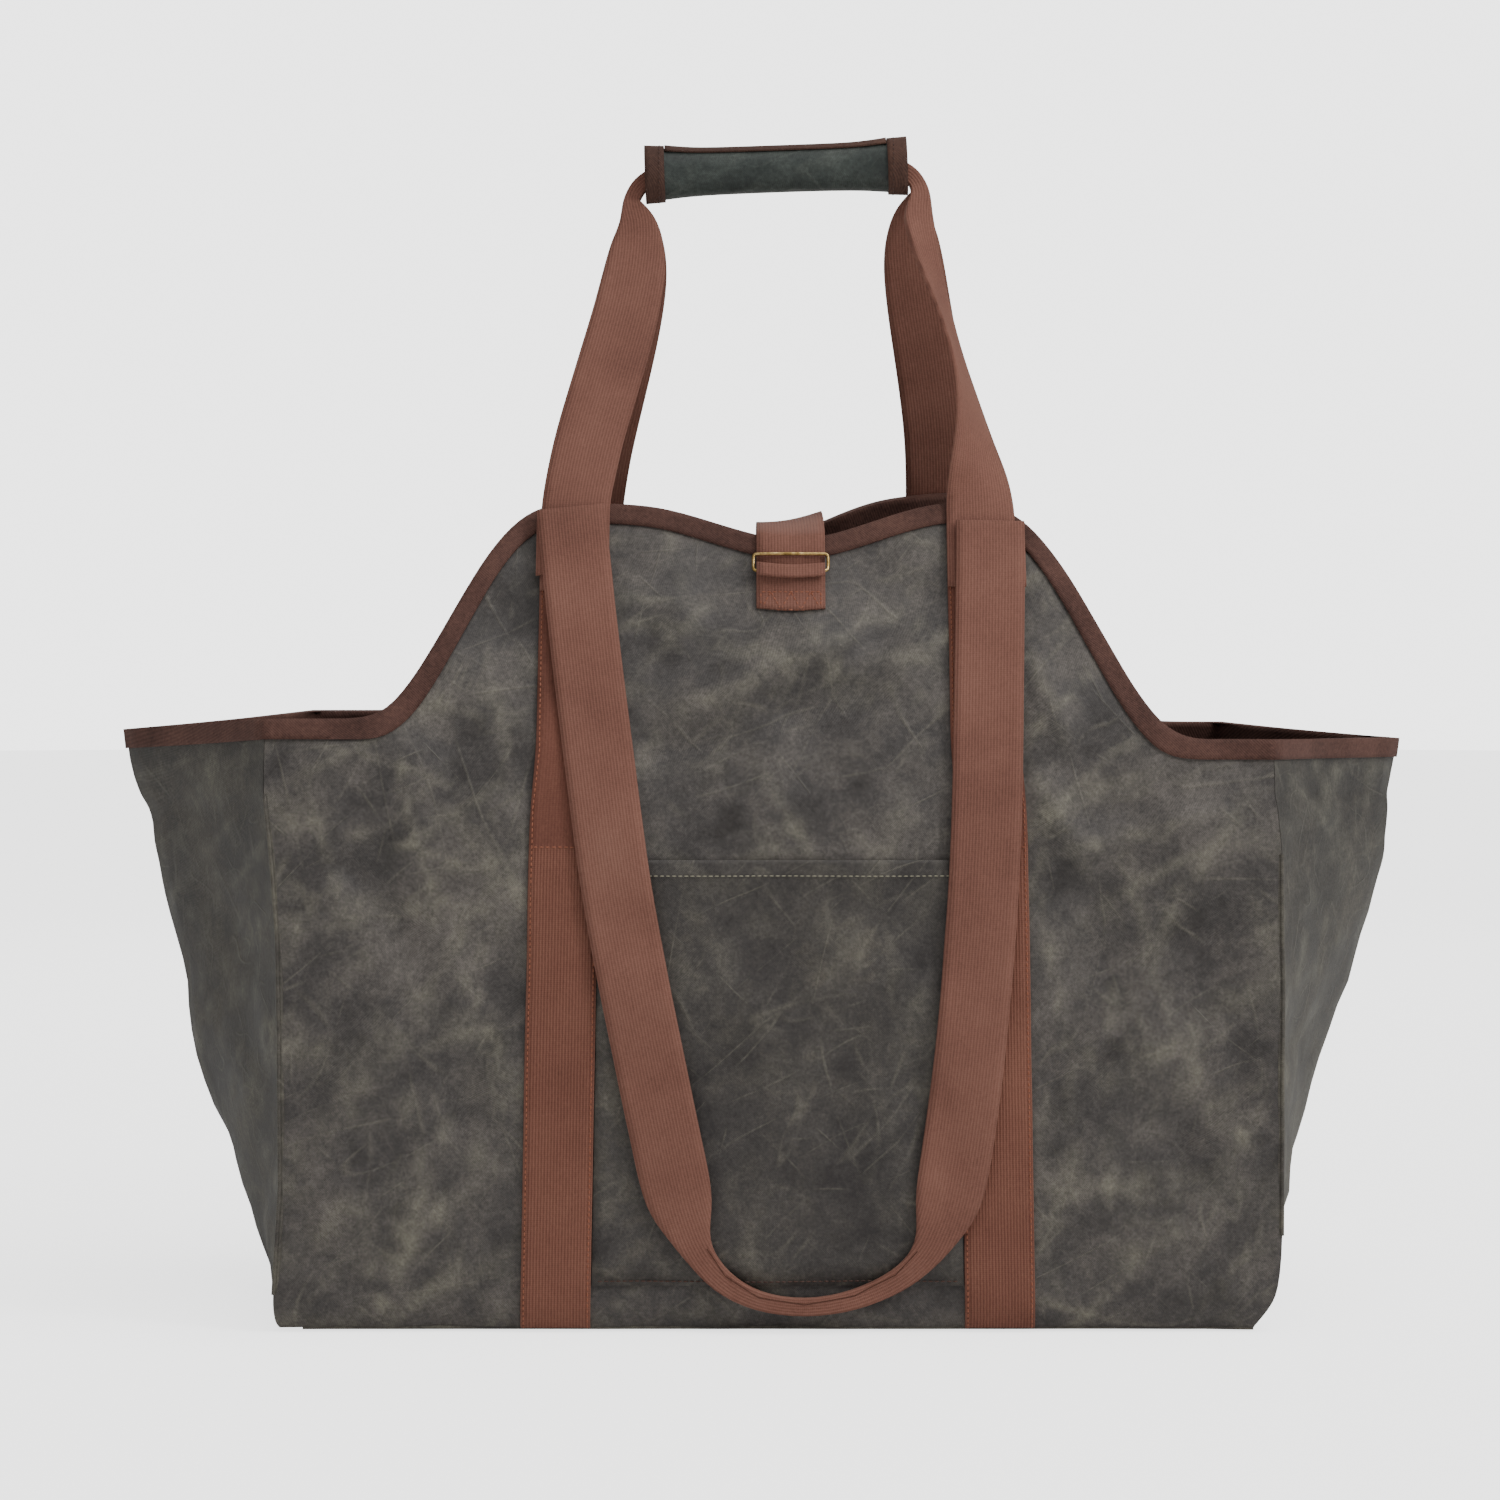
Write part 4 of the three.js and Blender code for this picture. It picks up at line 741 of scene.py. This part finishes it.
def wovenTape(name, tape):
    # Twill tape folded over an edge: matt, with fine slanting lines
    material, add = startMaterial(name)
    spot = add("TexCoord").outputs["Object"]
    parts = add("SeparateXYZ", links={0: spot})
    along = add("Math", {"operation": "ADD"}, {0: parts.outputs[0], 1: parts.outputs[1]})
    slant = add("Math", {"operation": "MULTIPLY_ADD"}, {0: parts.outputs[2], 1: 0.8, 2: along})
    twill = add("Math", {"operation": "MULTIPLY"}, {0: slant, 1: 2 * math.pi / (tape["twill"] * mm)})
    twill = add("Math", {"operation": "SINE"}, {0: twill})
    fuzz = add("TexNoise", {"Scale": 1 / (2.0 * mm), "Detail": 4, "Roughness": 0.75}, {"Vector": spot})
    wear = add("TexNoise", {"Scale": 1 / (40 * mm), "Detail": 4, "Roughness": 0.6}, {"Vector": spot})
    tone = add("Math", {"operation": "MULTIPLY"}, {0: fuzz, 1: 0.5})
    tone = add("Math", {"operation": "MULTIPLY_ADD"}, {0: twill, 1: 0.05, 2: tone})
    tone = add("Math", {"operation": "MULTIPLY_ADD"}, {0: wear, 1: 0.5, 2: tone})
    colour = add("ValToRGB", {
        "stops": [(0.3, tape["groove"]), (0.5, tape["plain"]), (0.72, tape["crown"])]}, {0: tone})
    lift = add("Math", {"operation": "MULTIPLY"}, {0: fuzz, 1: 0.2 * mm})
    lift = add("Math", {"operation": "MULTIPLY_ADD"}, {0: twill, 1: 0.07 * mm, 2: lift})
    bump = add("Bump", {"Strength": 0.7, "Distance": 1.0}, {"Height": lift})
    shader = add("BsdfPrincipled", {
        "Roughness": 0.85, "IOR": 1.5, "Specular IOR Level": 0.3, "Sheen Weight": 0.15,
        "Sheen Roughness": 0.5, "Sheen Tint": linearColour("#a8877c")},
        {"Base Color": colour, "Normal": bump})
    finishMaterial(add, shader)
    return material


rimTape = wovenTape("cotton twill tape, rim", {
    "twill": 1.6, "groove": "#38241f", "plain": "#553a33", "crown": "#6e4e44"})
gripTape = wovenTape("cotton twill tape, grip", {
    "twill": 1.6, "groove": "#34211c", "plain": "#4f3830", "crown": "#67493d"})
gripCanvas = waxedCanvas("waxed cotton duck, grip", {
    **canvasTones, "shift": (3.1, 0.3, 0.8), "thick": "#2a2e2c", "plain": "#343a37", "worn": "#404642",
    "pale": "#4c524d", "rubbed": "#676b63", "crestShare": 0.2})


def antiqueBrass():
    # Brass wire with a dark antique plating, polished back where it is handled
    material, add = startMaterial("antique plated brass wire")
    spot = add("TexCoord").outputs["Object"]
    patina = add("TexNoise", {"Scale": 1 / (5 * mm), "Detail": 5, "Roughness": 0.7}, {"Vector": spot})
    colour = add("ValToRGB", {"stops": [(0.3, "#6e5530"), (0.46, "#b3955a"), (0.62, "#e2c285")]},
                 {0: patina})
    rough = add("ValToRGB", {"stops": [(0.36, 0.48), (0.68, 0.24)]}, {0: patina})
    bump = add("Bump", {"Strength": 0.25, "Distance": 0.1 * mm}, {"Height": patina})
    shader = add("BsdfPrincipled", {"Metallic": 1.0},
                 {"Base Color": colour, "Roughness": rough, "Normal": bump})
    finishMaterial(add, shader)
    return material


clothPiece("rimBinding", "rim_binding", rimTape, least=50)
gripPiece = clothPiece("gripWrap", "grip_wrap", gripCanvas, least=50)
for name, node in (("gripBindingLeft", "grip_binding_left"), ("gripBindingRight", "grip_binding_right"),
                   ("gripBindingEdge", "grip_binding_edge")):
    clothPiece(name, node, gripTape, least=50)
clothPiece("closureRing", "closure_buckle", antiqueBrass(), least=75)
print("tape, grip and ring")


# Sewing: every stitch is a small lozenge of thread lying on the cloth. Sizes in mm.

stitchSizes = {
    "girth": {"pitch": 3.1, "length": 2.4, "width": 0.9},
    "hem": {"pitch": 3.3, "length": 2.5, "width": 0.75},
    "foot": {"pitch": 3.3, "length": 2.9, "width": 0.9},
    "tab": {"pitch": 2.8, "length": 2.3, "width": 0.8},
    "grip": {"pitch": 3.0, "length": 2.3, "width": 0.8},
}
proud = 0.45             # half the thickness of a stitch
intoFront = (0, 1, 0)    # the way the front is looked at


def threadMaterial(name, colour, lift):
    # Waxed sewing thread: a little brighter than the cloth under it, with its twist as a fine bump
    material, add = startMaterial(name)
    spot = add("TexCoord").outputs["Object"]
    twist = add("TexNoise", {"Scale": 1 / (0.9 * mm), "Detail": 3, "Roughness": 0.7}, {"Vector": spot})
    tone = add("ValToRGB", {"stops": [(0.35, colour), (0.65, lift)]}, {0: twist})
    bump = add("Bump", {"Strength": 0.5, "Distance": 0.2 * mm}, {"Height": twist})
    shader = add("BsdfPrincipled", {"Roughness": 0.6, "IOR": 1.5, "Specular IOR Level": 0.4},
                 {"Base Color": tone, "Normal": bump})
    finishMaterial(add, shader)
    return material


def surfaceOf(*pieces):
    # one search tree over the finished pieces
    points = []
    faces = []
    for piece in pieces:
        first = len(points)
        points += [vert.co.copy() for vert in piece.data.vertices]
        faces += [[first + place for place in polygon.vertices] for polygon in piece.data.polygons]
    return BVHTree.FromPolygons(points, faces)


def seenFrom(surface, places, direction):
    # where lines through the places, running in one direction, first meet the surface
    direction = Vector(direction)
    met = []
    for place in places:
        spot, normal, _, _ = surface.ray_cast(Vector(place) * mm - direction * 0.5, direction)
        if spot:
            met.append((spot, normal if normal.dot(direction) < 0 else -normal))
    return met


def nearestTo(surface, places, outward):
    # the nearest spots on the surface, each with the normal on the outward side
    met = []
    for place, away in zip(places, outward):
        spot, normal, _, _ = surface.find_nearest(place)
        met.append((spot, normal if normal.dot(away) > 0 else -normal))
    return met


def sewAlong(stitches, line, size):
    # adds the place and size of a stitch at even spaces along a line of spots with normals
    runs = [0.0]
    for (before, _), (after, _) in zip(line, line[1:]):
        runs.append(runs[-1] + (after - before).length / mm)
    count = max(1, int(runs[-1] / size["pitch"]))
    place = 0
    for number in range(count):
        run = (number + 0.5) * runs[-1] / count
        while place < len(runs) - 2 and runs[place + 1] < run:
            place += 1
        share = (run - runs[place]) / max(runs[place + 1] - runs[place], 1e-6)
        spot = line[place][0].lerp(line[place + 1][0], share)
        normal = line[place][1].lerp(line[place + 1][1], share).normalized()
        along = (line[place + 1][0] - line[place][0]).normalized()
        side = normal.cross(along).normalized()
        turned = Matrix((side, normal, along)).transposed().to_4x4()
        sized = Matrix.Diagonal((size["width"] / 2 * mm, proud * mm, size["length"] / 2 * mm, 1))
        stitches.append(Matrix.Translation(spot) @ turned @ sized)


def sewnPiece(name, stitches, material):
    # one stitch is shaped once and laid at every place of the seam
    shape = bmesh.new()
    bmesh.ops.create_uvsphere(shape, u_segments=6, v_segments=4, radius=1)
    points = np.array([[*vert.co, 1] for vert in shape.verts])
    faces = [[vert.index for vert in face.verts] for face in shape.faces]
    shape.free()
    laid = np.concatenate([points @ np.array(stitch).T for stitch in stitches])[:, :3]
    data = bpy.data.meshes.new(name)
    data.from_pydata(laid, [], [[number * len(points) + place for place in face]
                                for number in range(len(stitches)) for face in faces])
    return addPiece(name, data, material, [])


def meshPiece(name, mesh, material):
    data = bpy.data.meshes.new(name)
    mesh.to_mesh(data)
    mesh.free()
    return addPiece(name, data, material, [])


def thinned(line, least):
    # leaves out spots that are closer than least to the one before
    kept = []
    for spot, normal in line:
        if not kept or (spot - kept[-1][0]).length > least * mm:
            kept.append((spot, normal))
    return kept


def pipeAlong(mesh, line, radius, lift=0.0):
    # sweeps a ring of eight along a line of spots with normals
    def frameAt(place):
        spot, normal = line[place]
        along = (line[min(place + 1, len(line) - 1)][0] - line[max(place - 1, 0)][0]).normalized()
        side = normal.cross(along).normalized()
        turned = Matrix((side, normal, along)).transposed().to_4x4()
        return Matrix.Translation(spot + normal * lift * mm) @ turned

    frames = [frameAt(place) for place in range(len(line))]
    made = bmesh.ops.create_circle(mesh, cap_ends=True, segments=8, radius=radius * mm, matrix=frames[0])
    edges = list({edge for vert in made["verts"] for edge in vert.link_edges})
    for before, after in zip(frames, frames[1:]):
        made = bmesh.ops.extrude_edge_only(mesh, edges=edges)
        verts = [item for item in made["geom"] if isinstance(item, bmesh.types.BMVert)]
        fresh = set(verts)
        edges = [item for item in made["geom"] if isinstance(item, bmesh.types.BMEdge)
                 and item.verts[0] in fresh and item.verts[1] in fresh]
        bmesh.ops.transform(mesh, matrix=after @ before.inverted(), verts=verts)
    bmesh.ops.contextual_create(mesh, geom=edges)


bagMiddle = Vector((0, 0, (underside + 200) * mm))


def stripLine(name, inset, widest=math.inf):
    # a line along a strip, at an inset from one edge: negative counts from the left one.
    # Only the part that is no wider than given is followed.
    piece, sections = stripPieces[name]
    places = []
    away = []
    for section, coming in zip(sections, sections[1:]):
        for share in (0, 0.25, 0.5, 0.75):
            middle = section["middle"].lerp(coming["middle"], share)
            across = section["across"].lerp(coming["across"], share)
            half = section["half"] + (coming["half"] - section["half"]) * share
            normal = section["normal"].lerp(coming["normal"], share)
            if normal.dot(middle - bagMiddle) < 0:
                normal = -normal
            if half <= widest / 2 * mm:
                offset = half - abs(inset) * mm
                places.append(
                    middle + across * math.copysign(offset, inset) + normal * section["thick"] / 2)
                away.append(normal)
    moved, _ = hangOfCloth(np.array([list(place) for place in places]))
    return nearestTo(surfaceOf(piece), [Vector(place) for place in moved], away)


orangeThread = threadMaterial("waxed thread, rust", "#8f5540", "#a8694f")
paleThread = threadMaterial("waxed thread, pale", "#8a8672", "#a39f8a")
# dark brown thread for the grip's stitches and the pocket's foot, where its close-set row is also a
# painted shadow line
darkThreadAndShadow = threadMaterial("waxed thread, dark brown, and painted shadow line", "#3a2621", "#5a4036")

# The folded middle of the shoulder handles: a thin dark pipe under the back half's lip, a painted shadow
# in the gap
handleFold = {"inset": 1.9, "widest": 17, "radius": 0.3}
foldShadow = wovenTape("cotton webbing, painted shadow in the fold", {
    "twill": 1.6, "groove": "#43291f", "plain": "#553529", "crown": "#643f32"})
foldShadowLines = bmesh.new()
for name in ("shoulderHandleFront", "shoulderHandleBack"):
    lines = [stripLine(name, inset, handleFold["widest"])
             for inset in (-handleFold["inset"], handleFold["inset"])]
    upper = max(lines, key=lambda line: sum(spot.z for spot, _ in line) / len(line))
    pipeAlong(foldShadowLines, thinned(upper, 2), handleFold["radius"])
meshPiece("handleFoldShadows", foldShadowLines, foldShadow)

# The girth straps: a row along both edges, and one across where the upper layer ends
girthRows = {"inset": 1.6, "layerEnd": 264, "middles": (-120, 118), "reach": 17}
girthSewing = []
for name in ("girthStrapLeft", "girthStrapRight"):
    for inset in (-girthRows["inset"], girthRows["inset"]):
        sewAlong(girthSewing, stripLine(name, inset), stitchSizes["girth"])
frontGirths = surfaceOf(stripPieces["girthStrapLeft"][0], stripPieces["girthStrapRight"][0])
for middle in girthRows["middles"]:
    steps = range(-girthRows["reach"], girthRows["reach"] + 1, 2)
    places = [(middle + step, 0, underside + girthRows["layerEnd"]) for step in steps]
    sewAlong(girthSewing, seenFrom(frontGirths, places, intoFront), stitchSizes["girth"])
sewnPiece("girthStitches", girthSewing, orangeThread)
print("girth stitches")

# The pocket: a pale row along its hem and a dark one along its foot, whose close-set dark stitches also
# stand for the shadow in the gap under the pocket's edge
pocketRows = {"reach": 98, "step": 4}
pocketSurface = surfaceOf(pocketPiece)
for name, height, size, thread in (("hemStitches", 248.5, "hem", paleThread),
                                   ("footStitchesAndShadow", 28.2, "foot", darkThreadAndShadow)):
    steps = range(-pocketRows["reach"], pocketRows["reach"] + 1, pocketRows["step"])
    row = seenFrom(pocketSurface, [(across, 0, underside + height) for across in steps], intoFront)
    pocketSewing = []
    sewAlong(pocketSewing, row, stitchSizes[size])
    sewnPiece(name, pocketSewing, thread)

# The seams: a narrow turned edge stands out where each panel meets an end, with the
# allowance turned in behind it, and another runs round the base
endSeams = {"first": 5, "last": 318, "step": 6, "edge": (1.1, 0.1), "allowance": (1.5, -1.9)}
baseSeams = {"frontReach": 262, "endReach": 118, "step": 12, "height": 6, "edge": (1.2, -0.6)}
seamCanvas = waxedCanvas("waxed cotton duck, seams", {
    **canvasTones, "shift": (4.4, 1.3, 0.1), "thick": "#423e3a", "plain": "#4f4b45",
    "worn": "#5d5950", "pale": "#6b675b"})
seamEdges = bmesh.new()
for name, face in (("frontPanel", -1), ("backPanel", 1)):
    surface = surfaceOf(bpy.data.objects[name])
    for end in (-1, 1):
        away = Vector((end, face, 0)).normalized()
        line = []
        for up in range(endSeams["first"], endSeams["last"], endSeams["step"]):
            outside = Vector((0, 0, (underside + up) * mm)) + away * 1.2
            line.append((surface.find_nearest(outside)[0], away))
        for part in ("edge", "allowance"):
            pipeAlong(seamEdges, thinned(line, 3), *endSeams[part])
baseSurface = surfaceOf(basePiece)
for face in (-1, 1):
    for side, reach in ((Vector((0, face, 0)), baseSeams["frontReach"]),
                        (Vector((face, 0, 0)), baseSeams["endReach"])):
        line = []
        for step in range(-reach, reach + 1, baseSeams["step"]):
            along = Vector((side.y, side.x, 0)) * face * step * mm
            raised = Vector((0, 0, (underside + baseSeams["height"]) * mm))
            line.append((baseSurface.find_nearest(along + side * 0.5 + raised)[0], side))
        pipeAlong(seamEdges, thinned(line, 3), *baseSeams["edge"])
meshPiece("seamRidges", seamEdges, seamCanvas)

# The closure tab: a box with a zigzag in it
tabBox = {"middle": 7.5, "half": 16.5, "low": 392.6, "high": 402.4, "turns": 6}
left, right, low, high = -tabBox["half"], tabBox["half"], tabBox["low"], tabBox["high"]
box = [(left, low), (right, low), (right, high), (left, high), (left, low)]
zigzag = [(left + (right - left) * number / tabBox["turns"], (low, high)[number % 2])
          for number in range(tabBox["turns"] + 1)]
tabSurface = surfaceOf(stripPieces["closureTab"][0])
tabSewing = []
for route in (box, zigzag):
    for start, end in zip(route, route[1:]):
        places = []
        for share in (0, 0.25, 0.5, 0.75, 1):
            across, up = (start[way] + (end[way] - start[way]) * share for way in (0, 1))
            places.append((tabBox["middle"] + across, 0, underside + up))
        row = seenFrom(tabSurface, places, intoFront)
        if len(row) > 1:
            sewAlong(tabSewing, row, stitchSizes["tab"])
sewnPiece("tabStitches", tabSewing, orangeThread)

# The grip: a row round each end tape, toward the sleeve
gripRows = {"gripBindingLeft": 3.2, "gripBindingRight": -3.2}
gripSewing = []
for name, shift in gripRows.items():
    tape = bpy.data.objects[name]
    surface = surfaceOf(tape)
    spots = [vert.co for vert in tape.data.vertices]
    middle = sum(spots, Vector()) / len(spots) + Vector((shift * mm, 0, 0))
    ring = []
    for turn in range(0, 361, 12):
        out = Vector((0, math.cos(math.radians(turn)), math.sin(math.radians(turn))))
        spot, normal, _, _ = surface.ray_cast(middle + out * 0.05, -out)
        if spot:
            ring.append((spot, normal if normal.dot(out) > 0 else -normal))
    sewAlong(gripSewing, ring, stitchSizes["grip"])
sewnPiece("gripStitches", gripSewing, darkThreadAndShadow)
print("sewing and seams")
